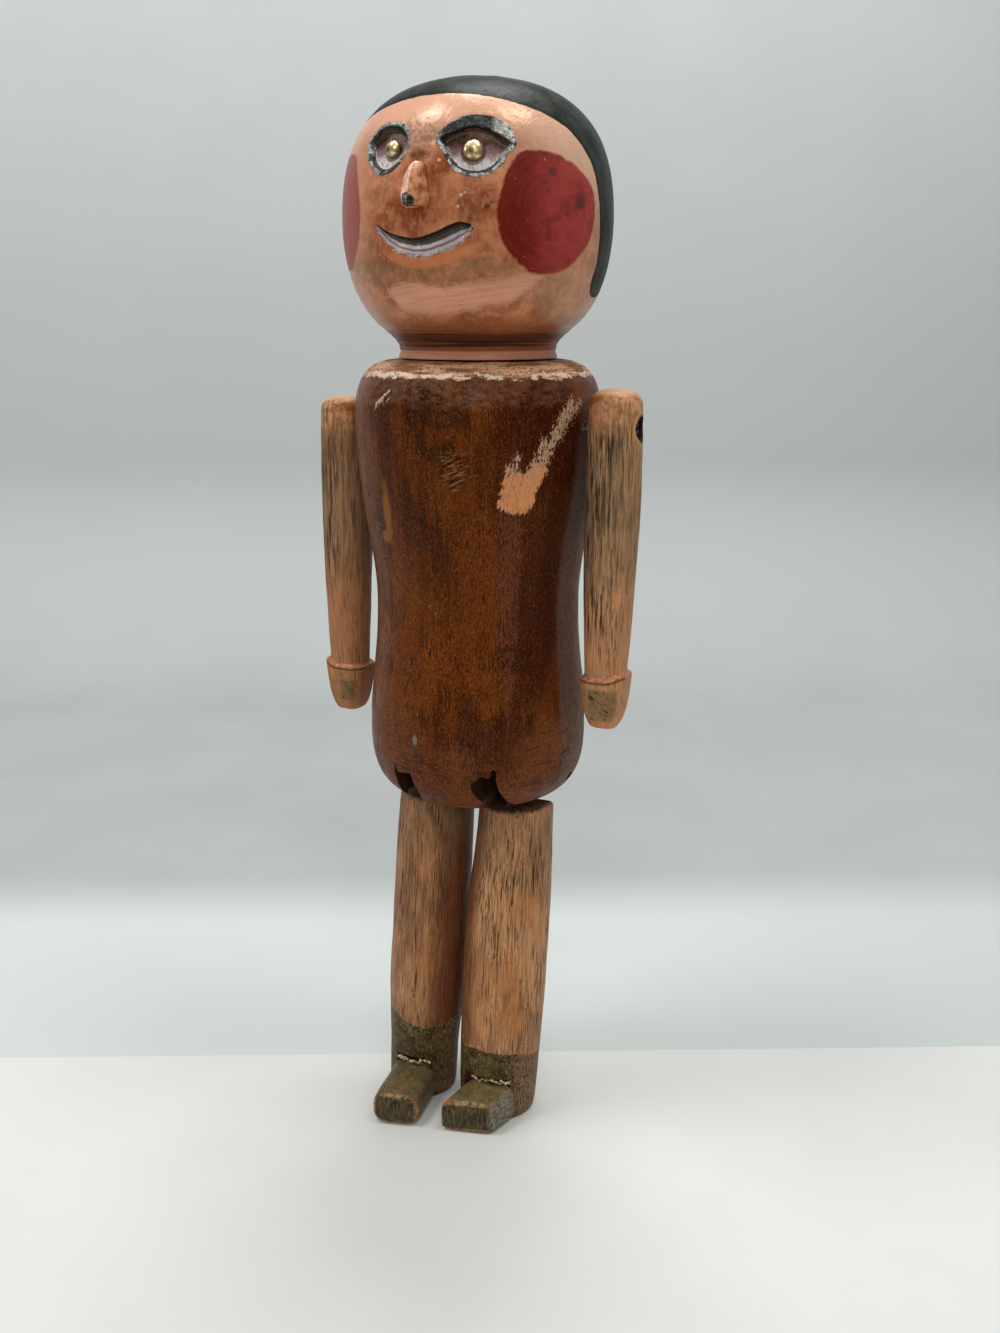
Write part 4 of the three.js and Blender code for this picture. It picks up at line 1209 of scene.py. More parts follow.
def pin_hole_cutter():
    """The bore for the hip pin, chipped wide where it comes out on the doll's left."""
    turns = np.radians(np.arange(0, 360, 12))
    bore = [(-40, 1.75), (-22, 1.6), (22, 1.6), (24.2, 1.6), (25.2, 2.0), (26.2, 2.7), (40, 9)]
    rings = []
    for x, radius in bore:
        wobble = 1 + 0.14 * np.sin(3 * turns + 1) * (x > 23)
        y = HIP_PIN[1] + radius * wobble * np.cos(turns)
        z = HIP_PIN[2] + 0.5 * (x > 24) + radius * wobble * 0.7 * np.sin(turns)
        rings.append(np.stack([np.full(turns.shape, x), y, z], -1))
    points, faces = skin(np.array(rings))
    return make_piece("pin hole", points, faces, [SLOT_WOOD])


def torso_fields(points):
    """Painted and worn places of the torso, as millimetres inside each."""
    azimuth, height = azimuths_of(points), points[:, 2]
    across = np.radians(azimuth) * CHEST_RADIUS

    def past(turn):
        return across - math.radians(turn) * CHEST_RADIUS

    def oval(turn, level, half_width, half_height):
        reach = np.hypot(past(turn) / half_width, (height - level) / half_height)
        return (1 - reach) * min(half_width, half_height)

    marks = [
        ((-28.5, 188.2), (-19.5, 191.6), 0.3), ((-29.5, 186.9), (-22.8, 189.4), 0.22),
        ((-22.4, 188.2), (-18.8, 190.2), 0.18),
    ]
    # the ring is open below on the doll's left
    from_ring = abs(np.hypot(past(5.5), height - 184.0) - 6.2)
    left_part = np.minimum(1.6 - from_ring, height - 184.5)
    open_ring = np.where(past(14) > 0, left_part, 1.9 - from_ring)
    tall = 0.15 * np.maximum(0, abs(height - 147) - 15)
    red = np.maximum(oval(58, 140, 9, 25), np.maximum(oval(62, 178, 10, 13), oval(47, 184, 9, 9)))
    return {
        "smear": stroke_depth(SMEAR_STROKES, azimuth, height),
        "pale_marks": stroke_depth(marks, azimuth, height),
        "red": red,
        "dark": np.maximum(open_ring, oval(8, 186, 6, 3)),
        "scored": oval(13, 174.5, 4.6, 5.4),
        "grey_spot": oval(-9.8, 107.9, 0.9, 1.5),
        "ochre": np.maximum(oval(-25, 163.5, 1.5, 7.5), oval(-28.5, 157.2, 2.2, 1.6)),
        "strip": np.minimum(past(33), -past(46.5)) - tall,
        "swirl": oval(42, 129.5, 5.6, 3.6),
        "grey_side": np.minimum(past(71), 3.5) - 0.12 * np.maximum(0, abs(height - 135) - 27),
    }


def build_torso():
    line = np.concatenate([[(0.05, 0)], curve_points(TORSO_CURVES)])
    rows = spaced(line, lambda height: np.full(np.shape(height), 0.75))
    rings = spin(rows, even_turns(-70, 100, 1.1, 2.2), SEAT_LEVEL, torso_offset)
    rings[:, :, 2] = np.maximum(rings[:, :, 2], SEAT_LEVEL)
    points, faces = skin(rings)
    torso = make_piece("torso_wood", points, faces, [VARNISH])
    carve(torso, [*slot_cutters(), pin_hole_cutter()], sharp_angle=42)
    set_fields(torso, torso_fields(points_of(torso)))
    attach(torso, "torso")
    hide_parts("torso")


# Head and face


def eye_cut(outline, azimuth, height, deep):
    """Depth of a carved eye: a steep cut under the brow that shallows to the lower rim."""
    inside = depth_inside(outline, azimuth, height)
    levels = [level for _, level in outline]
    fall = (height - min(levels)) / (max(levels) - min(levels))
    cut = ease(inside, -0.15, 0.75) * (0.5 + 0.5 * ease(fall, 0.05, 0.75)) * deep
    return cut, inside, fall


def mouth_fall(azimuth, height):
    """How high a point of the mouth's groove is, from 0 at its lower edge to 1 at its upper."""
    upper_edge = [
        (-20.9, 227.1), (-15.2, 225.6), (-9.4, 224.6), (-2.3, 224.0), (3.5, 224.6), (9.0, 225.6),
        (12.8, 226.5), (16.9, 227.1), (21.6, 226.4),
    ]
    lower_edge = [
        (-20.9, 226.6), (-17.9, 224.6), (-14.5, 222.8), (-9.9, 221.3), (-3.6, 220.4), (2.3, 220.2),
        (8.8, 221.0), (14.2, 222.1), (18.6, 223.8), (21.6, 226.0),
    ]
    upper, lower = (np.interp(azimuth, *zip(*edge)) for edge in (upper_edge, lower_edge))
    return (height - lower) / np.maximum(upper - lower, 0.3)


def head_offset(azimuth, height):
    around = on_cylinder(azimuth, height, 31)
    turned = wrapped(azimuth)
    eyes = np.maximum(
        eye_cut(LEFT_EYE, turned, height, 1.9)[0], eye_cut(RIGHT_EYE, turned, height, 1.7)[0]
    )
    lid_depth = depth_inside(LEFT_LID, turned, height)
    lid = ease(lid_depth, -0.3, 0.8)
    mouth = depth_inside(MOUTH, turned, height)
    fall = mouth_fall(turned, height)
    groove = ease(mouth, -0.1, 0.5) * (0.35 + 0.65 * ease(fall, 0.1, 0.8)) * 1.5
    notch = ease(-np.hypot(turned * 0.54 / 2.2, (height - 240.2) / 1.6), -1.3, -0.2)
    rough = lumps(around, 1.1, 5) * 0.16 * ease(np.maximum(lid_depth, OUTSIDE), -1.2, 0.2)
    bridge = ease(-np.hypot((turned - 1) / 10, (height - 243.5) / 4.5), -1.2, -0.6)
    dents = np.maximum(0, lumps(around, 1.6, 6) - 0.45) * 0.5 * bridge
    uneven = 0.05 + 0.09 * lumps(around, 13, 3) + 0.035 * lumps(around, 4, 4)
    neck = ease(-height, -206, -202)
    lines = neck * 0.1 * (1 + np.sin(height * 5.2))
    carved = np.maximum(eyes, lid * 0.55)
    return -(uneven + carved + groove + notch * 0.6 + rough + dents + lines)


def head_fields(points):
    """Painted places of the head, as millimetres inside each."""
    azimuth, height = azimuths_of(points), points[:, 2]
    _, left_eye, left_fall = eye_cut(LEFT_EYE, azimuth, height, 1)
    _, right_eye, right_fall = eye_cut(RIGHT_EYE, azimuth, height, 1)
    mirrored = [(-turn, level + 1.2) for turn, level in CHEEK]
    cheek = np.maximum(
        depth_inside(CHEEK, azimuth, height), depth_inside(mirrored, azimuth, height),
    )
    middle = np.where(azimuth > 0, 229.2, 230.4)
    ring = np.hypot((np.abs(azimuth) - 54.5) / 23.5, (height - middle) / 12.6)
    below_hair = [(190, 211.5), *HAIRLINE, (-190, 211.5), (-190, 150), (190, 150)]
    scale = math.radians(1) * FACE_RADIUS

    def dots(*places):
        return spot_depth(places, azimuth, height, scale)

    def away(turn, level, flat=1.0):
        return np.hypot((azimuth - turn) * scale, (height - level) * flat)

    return {
        "hair": -depth_inside(below_hair, azimuth, height, steps=3),
        "eye": np.maximum(left_eye, right_eye),
        "fall": np.where(azimuth > 0, left_fall, right_fall),
        "lid": depth_inside(LEFT_LID, azimuth, height),
        "mouth": depth_inside(MOUTH, azimuth, height),
        "drop": mouth_fall(azimuth, height),
        "cheek": cheek,
        "ring": ring,
        "swathe": depth_inside(SWATHE, azimuth, height),
        "notch": dots((0.6, 240.2, 1.6), (-3.0, 240.6, 0.9), (3.4, 240.4, 0.9)),
        "mole": dots((27.4, 230.2, 0.75), (29.0, 231.0, 0.5)),
        "flecks": dots(
            (17.5, 232.4, 0.5), (19.0, 232.9, 0.4), (16.4, 230.2, 0.45), (-14, 229.5, 0.4),
            (40, 229.0, 0.3), (44, 236.5, 0.4), (8.5, 239.5, 0.5), (5.5, 243.0, 0.6),
        ),
        "bruise": dots((54.7, 237.4, 1.3), (68.5, 231.5, 1.8), (52, 233.5, 0.8)),
        "bald": dots((16, 258.8, 3.4), (28, 258.4, 2.6)),
        "pin_ring": np.where(azimuth > 0, away(22.1, 241.4, 0.95), away(-14.9, 242.4, 0.95) + 0.3),
        "bridge": np.maximum(4.2 - away(-1, 244.6), 2.6 - away(-6, 247.2)),
    }


def build_head():
    # rows of points lie closer together over the height of the carving
    rows = spaced(
        curve_points(HEAD_CURVES),
        lambda height: np.where((height > 19) & (height < 51.5), 0.32, 0.75),
    )
    rings = spin(rows, even_turns(-44, 46, 0.58, 1.9), NECK_LEVEL, head_offset)
    points, faces = skin(rings)
    head = make_piece("head_wood", points, faces, [HEAD_PAINT], head_fields(points), sharp_angle=65)
    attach(head, "torso")
    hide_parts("head")


def build_nose():
    """A wedge let into the face, its two front facets meeting at a ridge, its foot cut square."""
    rows = []
    marks = [0, 0.06, 0.16, 0.3, 0.5, 0.7, 0.88, 1]
    low, high, back, corner = 230.1, 239.2, -25.0, 5.0
    shares = np.r_[0, np.linspace(0.015, 1, 46)]
    width = flow(marks, [2.2, 2.65, 2.85, 2.8, 2.55, 2.15, 1.7, 1.2], shares)
    front = flow(marks, [-32.4, -34.0, NOSE_FRONT, -34.3, -33.8, -33.1, -31.9, -30.5], shares)
    turns = np.radians(np.arange(0, 360, 5))
    x, y = np.sin(turns), -np.cos(turns)
    square = square_reach(x, y, corner)
    for share, half, reach in zip(shares, width, front):
        middle, depth = (reach + back) / 2, (back - reach) / 2
        aside = np.clip(x * square, -1, 1)
        off_ridge = np.abs(aside - 0.1)
        facets = 1 - 0.42 * np.clip(off_ridge - 0.04, 0, 1)
        ring_y = middle + y * square * depth * np.where(y < 0, facets, 1)
        level = np.full(x.shape, low + share * (high - low))
        rows.append(np.stack([aside * half, ring_y, level], -1))
    rings = np.array(rows)
    rings += 0.07 * lumps(rings, 1.4, 8)[..., None]
    rings[:, :, 1] = np.maximum(rings[:, :, 1], NOSE_FRONT)
    points, faces = skin(rings)
    x, y, z = points.T
    fields = {
        "tip": np.minimum(1.5 - np.hypot(0.8 * (x + 0.4), z - 231.3), -30.5 - y),
        "lit_facet": 0.25 - x,
        "root": np.hypot(x, y - AXIS_Y) - np.interp(z, [229, 235, 240], [32.1, 31.9, 31.2]),
    }
    nose = make_piece("nose_wood", points, faces, [NOSE_PAINT], fields, sharp_angle=40)
    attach(nose, "torso")
    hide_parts("nose_peg")


# Pins, screws and glue, by geometry nodes


class Recipe:
    """A geometry node tree with named inputs, and the piece that it makes."""

    def __init__(self, name, inputs):
        self.tree = bpy.data.node_groups.new(name, "GeometryNodeTree")
        new_socket = self.tree.interface.new_socket
        for way in ("OUTPUT", "INPUT"):
            new_socket("Geometry", in_out=way, socket_type="NodeSocketGeometry")
        kinds = {float: "NodeSocketFloat", int: "NodeSocketInt"}
        self.keys = {}
        for label, value in inputs.items():
            socket = new_socket(label, in_out="INPUT", socket_type=kinds[type(value)])
            socket.default_value = value
            self.keys[label] = socket.identifier
        self.start = self.tree.nodes.new("NodeGroupInput")
        self.end = self.tree.nodes.new("NodeGroupOutput")

    def input(self, label):
        return self.start.outputs[label]

    def make(self, kind, sockets=None, **settings):
        """The first output of a new node."""
        node = self.tree.nodes.new(kind)
        for key, value in settings.items():
            setattr(node, key, value)
        for key, value in (sockets or {}).items():
            if isinstance(value, bpy.types.NodeSocket):
                self.tree.links.new(value, node.inputs[key])
            else:
                node.inputs[key].default_value = value
        return node.outputs[0]

    def calc(self, operation, *values):
        return self.make("ShaderNodeMath", dict(enumerate(values)), operation=operation)

    def vector(self, x=0.0, y=0.0, z=0.0):
        return self.make("ShaderNodeCombineXYZ", {"X": x, "Y": y, "Z": z})

    def chance(self, low, high):
        """A random vector for each point, between two corners."""
        corners = {"Min": low, "Max": high, "Seed": self.input("Seed")}
        return self.make("FunctionNodeRandomValue", corners, data_type="FLOAT_VECTOR")

    def moved(self, shape, **change):
        return self.make("GeometryNodeTransform", {"Geometry": shape, **change})

    def dome(self, radius, height, segments, rings):
        """A ball, flattened to a dome's height."""
        sizes = {"Segments": segments, "Rings": rings, "Radius": 1.0}
        wide = self.input(radius)
        scale = self.vector(wide, wide, self.input(height))
        return self.moved(self.make("GeometryNodeMeshUVSphere", sizes), Scale=scale)

    def shank(self, drop):
        """A thin round rod along Z, its middle at drop."""
        sizes = {"Radius": self.input("Shank Radius"), "Depth": self.input("Shank Length")}
        rod = self.make("GeometryNodeMeshCylinder", {"Vertices": 24, **sizes})
        return self.moved(rod, Translation=self.vector(z=drop))

    def finish(self, material, *shapes):
        """Ends the tree: the shapes together, in their material."""
        shape = shapes[0]
        if len(shapes) > 1:
            joined = self.tree.nodes.new("GeometryNodeJoinGeometry")
            for part in shapes:
                self.tree.links.new(part, joined.inputs[0])
            shape = joined.outputs[0]
        plain = self.make("GeometryNodeRealizeInstances", {"Geometry": shape})
        painted = {"Geometry": plain, "Material": material}
        self.tree.links.new(self.make("GeometryNodeSetMaterial", painted), self.end.inputs[0])

    def build(self, name, base=None, **values):
        """The piece as a plain mesh, from base if the recipe needs a line."""
        piece = add_object(name, bpy.data.meshes.new(name))
        source = base or piece
        change = source.modifiers.new("recipe", "NODES")
        change.node_group = self.tree
        for label, value in values.items():
            change[self.keys[label.replace("_", " ")]] = value
        piece.data = shape_taken(source)
        piece.data.name = name
        return piece


def pin_recipe():
    """A domed nail: a flattened ball on a thin shank, with its point along -Z."""
    r = Recipe("domed pin", {
        "Dome Radius": 0.002, "Dome Height": 0.0012, "Shank Radius": 0.0007, "Shank Length": 0.007,
    })
    dome = r.dome("Dome Radius", "Dome Height", 48, 24)
    nail = r.shank(r.calc("MULTIPLY", r.input("Shank Length"), -0.5))
    r.finish(BRASS, dome, nail)
    return r


def screw_recipe():
    """A slotted wood screw: a low domed head with a slot along Y, and its shank along -Z."""
    r = Recipe("slotted screw", {
        "Head Radius": 0.0026, "Head Thickness": 0.0015, "Slot Width": 0.0008,
        "Slot Depth": 0.0008, "Shank Radius": 0.0014, "Shank Length": 0.014,
    })
    thickness = r.input("Head Thickness")
    dome = r.dome("Head Radius", "Head Thickness", 64, 32)
    head = r.moved(dome, Translation=r.vector(z=r.calc("MULTIPLY", thickness, -1.0)))
    long = r.calc("MULTIPLY", r.input("Head Radius"), 3.0)
    deep = r.calc("MULTIPLY", r.input("Slot Depth"), 2.0)
    slot = r.make("GeometryNodeMeshCube", {"Size": r.vector(r.input("Slot Width"), long, deep)})
    parts = {"Mesh 1": head, "Mesh 2": slot}
    cut = r.make("GeometryNodeMeshBoolean", parts, operation="DIFFERENCE", solver="EXACT")
    length = r.calc("ADD", r.input("Shank Length"), thickness)
    r.finish(STEEL, cut, r.shank(r.calc("MULTIPLY", length, -0.5)))
    return r


def crumb_recipe(name, material):
    """Small lumps strung along a line, each turned and sized by chance."""
    r = Recipe(name, {
        "Spacing": 0.0004, "Least Size": 0.0003, "Most Size": 0.0006, "Scatter": 0.0002, "Seed": 1,
    })
    line = r.make("GeometryNodeMeshToCurve", {"Mesh": r.input("Geometry")})
    spacing = {"Curve": line, "Length": r.input("Spacing")}
    even = r.make("GeometryNodeResampleCurve", spacing, mode="LENGTH")
    points = r.make("GeometryNodeCurveToPoints", {"Curve": even}, mode="EVALUATED")
    most, least = r.input("Scatter"), r.calc("MULTIPLY", r.input("Scatter"), -1.0)
    shift = r.chance(r.vector(least, least, least), r.vector(most, most, most))
    loose = r.make("GeometryNodeSetPosition", {"Geometry": points, "Offset": shift})
    lump = r.make("GeometryNodeMeshIcoSphere", {"Radius": 1.0, "Subdivisions": 3})
    full_turn = 6.28
    turn = r.chance((0, 0, 0), (full_turn, full_turn, full_turn))
    small, large = r.input("Least Size"), r.input("Most Size")
    size = r.chance(r.vector(small, small, small), r.vector(large, large, large))
    strung = r.make("GeometryNodeInstanceOnPoints", {
        "Points": loose, "Instance": lump, "Rotation": turn, "Scale": size,
    })
    r.finish(material, r.make("GeometryNodeSetShadeSmooth", {"Geometry": strung}))
    return r


def set_down(piece, turn, place):
    """Gives a piece its place, in its mesh. Place is in millimetres."""
    piece.data.transform(Matrix.Translation(Vector(place) * MM) @ turn.to_4x4())
    piece.data.update()


def build_eye_pins():
    recipe = pin_recipe()
    line = curve_points(HEAD_CURVES)
    for side, azimuth, height, radius in (("left", 22.1, 43.6, 2.2), ("right", -14.9, 44.6, 1.85)):
        here = float(np.interp(height, line[:, 1], line[:, 0]))
        above, below = np.interp([height + 1, height - 1], line[:, 1], line[:, 0])
        tilt = math.atan2(1, -float(above - below) / 2)
        inset = 0.95
        reach = here - inset * math.sin(tilt)
        angle = math.radians(azimuth)
        turn = Matrix.Rotation(angle, 3, "Z") @ Matrix.Rotation(tilt, 3, "X")
        name = f"{side}_eye_pin_brass"
        pin = recipe.build(name, Dome_Radius=radius * MM, Dome_Height=1.45 * MM)
        # the middle of the painted reflection of a dark room, a little off the dome's axis
        offset = points_of(pin) + [0.35, 0.5, 0]
        set_fields(pin, {"centre": np.hypot(offset[:, 0], offset[:, 1])})
        level = NECK_LEVEL + height - inset * math.cos(tilt)
        set_down(pin, turn, (reach * math.sin(angle), AXIS_Y - reach * math.cos(angle), level))
        smooth(pin.data, 40)
        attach(pin, "torso")
        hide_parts(f"{side}_eye_pin")


def build_screws():
    recipe = screw_recipe()
    for side, sign in SIDES.items():
        x, y, z = SHOULDERS[side]
        face = sign * (abs(x) + ARM_RADIUS - SCREW_SEAT_DEPTH)
        screw = recipe.build(f"{side}_shoulder_screw_steel")
        set_fields(screw, {"centre": np.full(len(screw.data.vertices), 2.0)})
        lean = Matrix.Rotation(math.radians(8 * sign), 3, "X")
        turn = lean @ Matrix.Rotation(sign * math.pi / 2, 3, "Y")
        set_down(screw, turn, (face, y, z))
        smooth(screw.data, 35)
        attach(screw, "torso")
        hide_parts(f"{side}_shoulder_screw")


# Arms


def cuff_lift(side, across):
    """How much higher the cuff stands at the outer side of an arm than across its front."""
    return 1.3 * ease(SIDES[side] * across, 0.2, 0.95)


def arm_rings(side):
    """Rings of an arm, from the fingertips up, about its own axis and below its top."""
    length = ARM_LENGTHS[side]
    full = length - 24
    shares = np.array([0.08, 0.25, 0.5, 0.75, 1])
    taper = 5.2 + (ARM_RADIUS - 5.2) * np.sin(np.pi / 2 * shares)
    marks = [
        0, 0.2, 0.7, 1.6, 3.4, 6.6, 10.0, 11.7, 12.35, 12.75, 13.15, 13.6,
        *(13.6 + (full - 13.6) * shares), length - 8,
    ]
    halves = [2.4, 3.0, 3.5, 3.95, 4.55, 5.2, 5.62, 5.78, 5.8, 5.72, 5.4, 5.2, *taper, 6.42]
    squares = [3.4, 3.6, 4.0, 4.6, 5.2, 5.6, 5.6, 5.2, 4.6, 3.6, 2.6, 2.1, *(2 + 0 * shares), 2]
    crown = [(3.4, 6.2), (2.6, 6.08), (1.9, 5.75), (1.2, 5.2), (0.6, 4.4), (0.2, 3.5), (0, 2.8)]
    marks += [length - drop for drop, _ in crown]
    halves += [radius for _, radius in crown]
    squares += [2] * len(crown)
    heights = np.unique(np.r_[
        np.linspace(0, 1.2, 9), np.linspace(1.2, 10.6, 28), np.linspace(10.6, 14.4, 40),
        np.linspace(14.4, length - 4, 90), np.linspace(length - 4, length, 26),
    ])
    half, square = (flow(marks, values, heights)[:, None] for values in (halves, squares))
    turns = np.radians(np.arange(0, 360, 3))[None, :]
    # the hand's corners face forward, back and to the sides
    quarter = {"right": 40, "left": 46}[side]
    across, along = np.sin(turns), -np.cos(turns)
    corner_turns = turns + math.radians(45 - quarter)
    one, two = np.sin(corner_turns), np.cos(corner_turns)
    reach = np.minimum(half * square_reach(one, two, square), half * 1.13)
    z = heights[:, None] + 0 * turns
    near_cuff = ease(z, 6, 11.6) * ease(-z, -19, -13.4)
    z = z + near_cuff * (cuff_lift(side, across) - 0.25)
    rings = np.stack([reach * across, reach * along, z], -1)
    uneven = 0.01 * lumps(rings, 7, 11 + SIDES[side]) + 0.006 * lumps(rings, 2.6, 14) - 0.008
    rings[:, :, :2] *= (1 + uneven)[..., None]
    return rings


def arm_fields(side, points):
    """Painted and worn places of an arm, from points about the arm's axis and fingertips."""
    x, y, z = points.T
    turn = np.degrees(np.arctan2(x, -y))
    cuff = CUFF_LEVEL + cuff_lift(side, np.sin(np.radians(turn)))
    length = ARM_LENGTHS[side]
    outward = SIDES[side] * x
    ring = 3.2 - np.hypot(y * 1.25, z - length + SHOULDER_DROP)
    front = {"right": 14, "left": 4}[side]
    span = {"right": 50, "left": 52}[side]
    across = np.abs(wrapped(turn - front))
    hand = np.minimum(z - 2.2, 10.6 - z)
    facet = np.minimum((38 - np.abs(wrapped(turn - front - 4))) * 0.09, hand)
    drop = length - z
    if side == "left":
        sooty = np.minimum(9 - np.abs(drop - 33) * 0.35, 3 - np.abs(wrapped(turn + 22)) * 0.06)
        bare = np.minimum(drop - 7, 52 - drop) * 0.3 - 0.02 * np.abs(turn - 5)
    else:
        sooty = np.minimum(8 - np.abs(drop - 22) * 0.3, 2.2 - np.abs(wrapped(turn + 28)) * 0.08)
        bare = np.minimum(drop - 6, 50 - drop) * 0.25 - 0.6
    varnish = np.where(-outward > 1.0, 1.6 - np.abs(drop - 1.2 + 0.5 * (outward + 3)), -3.0)
    return {
        "from_top": drop,
        "from_tip": z,
        "sooty": sooty,
        "bare": bare,
        "inner_top": np.maximum(0.7 - drop, varnish),
        "wrist_rim": np.minimum(0.42 - np.abs(z - cuff - 0.2), (span - across) * 0.05),
        "under_rim": np.minimum(0.3 - np.abs(z - cuff + 0.55), (span + 10 - across) * 0.05),
        "scribbled": facet if side == "left" else facet - 1.4,
        "screw_ring": np.where(outward > 0, ring, -5),
    }


def round_cutter(name, radius, from_x, to_x, centre, material, wobble=0.0):
    """A closed round bar along X, out of true by wobble."""
    turns = np.radians(np.arange(0, 360, 9))
    rings = []
    size = radius * (1 + wobble * np.sin(2 * turns + 0.7) + wobble * 0.6 * np.sin(5 * turns))
    y, z = centre[1] + size * np.cos(turns), centre[2] + size * np.sin(turns)
    for x in sorted((from_x, to_x)):
        rings.append(np.stack([np.full(turns.shape, x), y, z], -1))
    points, faces = skin(np.array(rings))
    return make_piece(name, points, faces, [material])


def build_arms():
    # the left arm's paint is given lighter than the right arm's, partly as painted light from the
    # doll's left front
    lit_and_shaded_paints = {
        "right": (110, (176, 118, 78), (138, 92, 58)),
        "left": (140, (204, 144, 100), (166, 116, 78)),
    }
    for side, sign in SIDES.items():
        x, y, z = SHOULDERS[side]
        paint = arm_finish(f"{side} arm paint", *lit_and_shaded_paints[side])
        points, faces = skin(arm_rings(side))
        tip = z + SHOULDER_DROP - ARM_LENGTHS[side]
        arm = make_piece(f"{side}_arm_wood", points + [x, y, tip], faces, [paint], sharp_angle=35)
        face = x + sign * (ARM_RADIUS - SCREW_SEAT_DEPTH)
        ends = face - sign * 0.7, face + sign * 5
        hole = round_cutter("screw hole", 2.8, *ends, (0, y, z), SLOT_WOOD, 0.03)
        carve(arm, [hole], sharp_angle=35)
        set_fields(arm, arm_fields(side, points_of(arm) - [x, y, tip]))
        # the rod isn't quite straight: its lower end leans towards the doll's right
        bent = points_of(arm)
        bent[:, 0] -= ARM_BEND * ease(z - bent[:, 2], 5, 60)
        bent[:, 0] = np.maximum(bent[:, 0], ARM_OUTERMOST)
        arm.data.vertices.foreach_set("co", (bent * MM).ravel())
        arm.data.update()
        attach(arm, f"{side}_arm")
        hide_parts(f"{side}_arm")


# Legs and feet


def leg_axis_y(height):
    """Where the middle of a leaning leg is along Y."""
    return HIP_PIN[1] + (height - HIP_PIN[2]) * math.tan(math.radians(LEG_LEAN))


FLAT_Y = leg_axis_y(0) - 7.2


def roof_outline():
    """The two slopes that the top of a leg is cut to, in Y and Z, from the leg's side."""
    ridge, reach = HIP_PIN[2] - 6.5, 22
    back, front = (reach * math.tan(math.radians(angle)) for angle in (ROOF_BACK, ROOF_FRONT))
    return leaned([
        (0, ridge), (reach, ridge - back), (reach, ridge + reach), (-reach, ridge + reach),
        (-reach, ridge - front),
    ])


def roof_level(y):
    """Height of the leg's sloping top at a place along Y."""
    away = y - HIP_PIN[1] + 0.68
    ridge = HIP_PIN[2] - 6.46
    front, back = (math.tan(math.radians(a)) for a in (ROOF_FRONT - LEG_LEAN, ROOF_BACK + LEG_LEAN))
    return ridge + away * np.where(away < 0, front, -back)


def leaned(outline):
    """An outline in Y and Z about the hip pin's line, leaned as the leg is."""
    lean = math.radians(LEG_LEAN)
    turned = []
    for y, z in outline:
        up = z - HIP_PIN[2]
        turned_y = HIP_PIN[1] + y * math.cos(lean) + up * math.sin(lean)
        turned.append((turned_y, HIP_PIN[2] + up * math.cos(lean) - y * math.sin(lean)))
    return turned


def leg_lean_in(side, height):
    """How far a leg's centre has crept in towards the other leg, lower down."""
    if side == "left":
        shifts = [1.3, 1.15, 1.0, 0.85, 0.7, 0.25, 0.0]
        return np.interp(height, [14, 30, 40, 50, 60, 70, 80], shifts)
    return -np.interp(height, [14, 30, 50, 70, 80], [1.0, 0.8, 0.5, 0.2, 0.0])


# Small bruises of the legs: (azimuth about the leg, height, radius)
BRUISES = {
    "left": [
        (2, 85.3, 0.6), (24, 84.5, 0.6), (34, 57.7, 0.7), (5, 46.6, 0.8), (8, 47.8, 0.5),
        (24, 47.2, 0.5), (58, 33.0, 0.6), (-18, 37.5, 0.4), (18, 44.0, 0.35), (36, 72.0, 0.4),
    ],
    "right": [(5.5, 30.4, 0.7), (7.5, 31.0, 0.4)],
}


def leg_fields(side, points):
    """Painted and worn places of a leg."""
    sign = SIDES[side]
    x, y, z = points.T
    aside = x - sign * (HIP_PIN[0] - leg_lean_in(side, z))
    front = leg_axis_y(z) - y
    turn = np.degrees(np.arctan2(aside, front))
    if side == "right":
        turns = [-60, -32, 0, 24, 49, 80, 110]
        boot_tops = [24.0, 23.8, 21.9, 21.0, 21.9, 22.6, 23.0]
        cracks = [((2.5, 31.0), (0.8, 49.8), 0.13), ((0.4, 50.5), (-1.0, 66.0), 0.05)]
        patches = [(30, 40, 3.5, 8), (10, 70, 2.5, 5)]
    else:
        turns = [-90, -46, -16, 13, 45, 80, 120]
        boot_tops = [18.0, 18.6, 20.0, 19.9, 19.3, 16.8, 17.5]
        cracks = [
            ((2.3, 79.0), (3.8, 57.0), 0.12), ((4.4, 77.0), (6.0, 62.0), 0.12),
            ((7.8, 78.0), (8.6, 61.0), 0.14), ((10.0, 76.0), (10.2, 60.0), 0.1),
            ((-2.0, 70.0), (-0.6, 58.0), 0.08),
        ]
        patches = [(20, 42.5, 3.4, 4.5), (42, 61, 3.6, 4.0), (35, 30, 4.0, 6.0), (-20, 34, 2.5, 9)]
    orange = np.full(z.shape, OUTSIDE)
    for at, level, half_width, half_height in patches:
        reach = np.hypot((turn - at) * 0.18 / half_width, (z - level) / half_height)
        orange = np.maximum(orange, (1 - reach) * half_width)
    return {
        "orange": orange,
        "boot_top": z - np.interp(turn, turns, boot_tops),
        "shaded_inner_side": -sign * aside - 5.2 + 0.1 * front,
        "outer": aside,
        "below_top": np.minimum(roof_level(y) - z, 20),
        "dents": spot_depth(BRUISES[side], turn, z, 0.19),
        "crack": stroke_depth(cracks, turn * 0.36, z),
    }


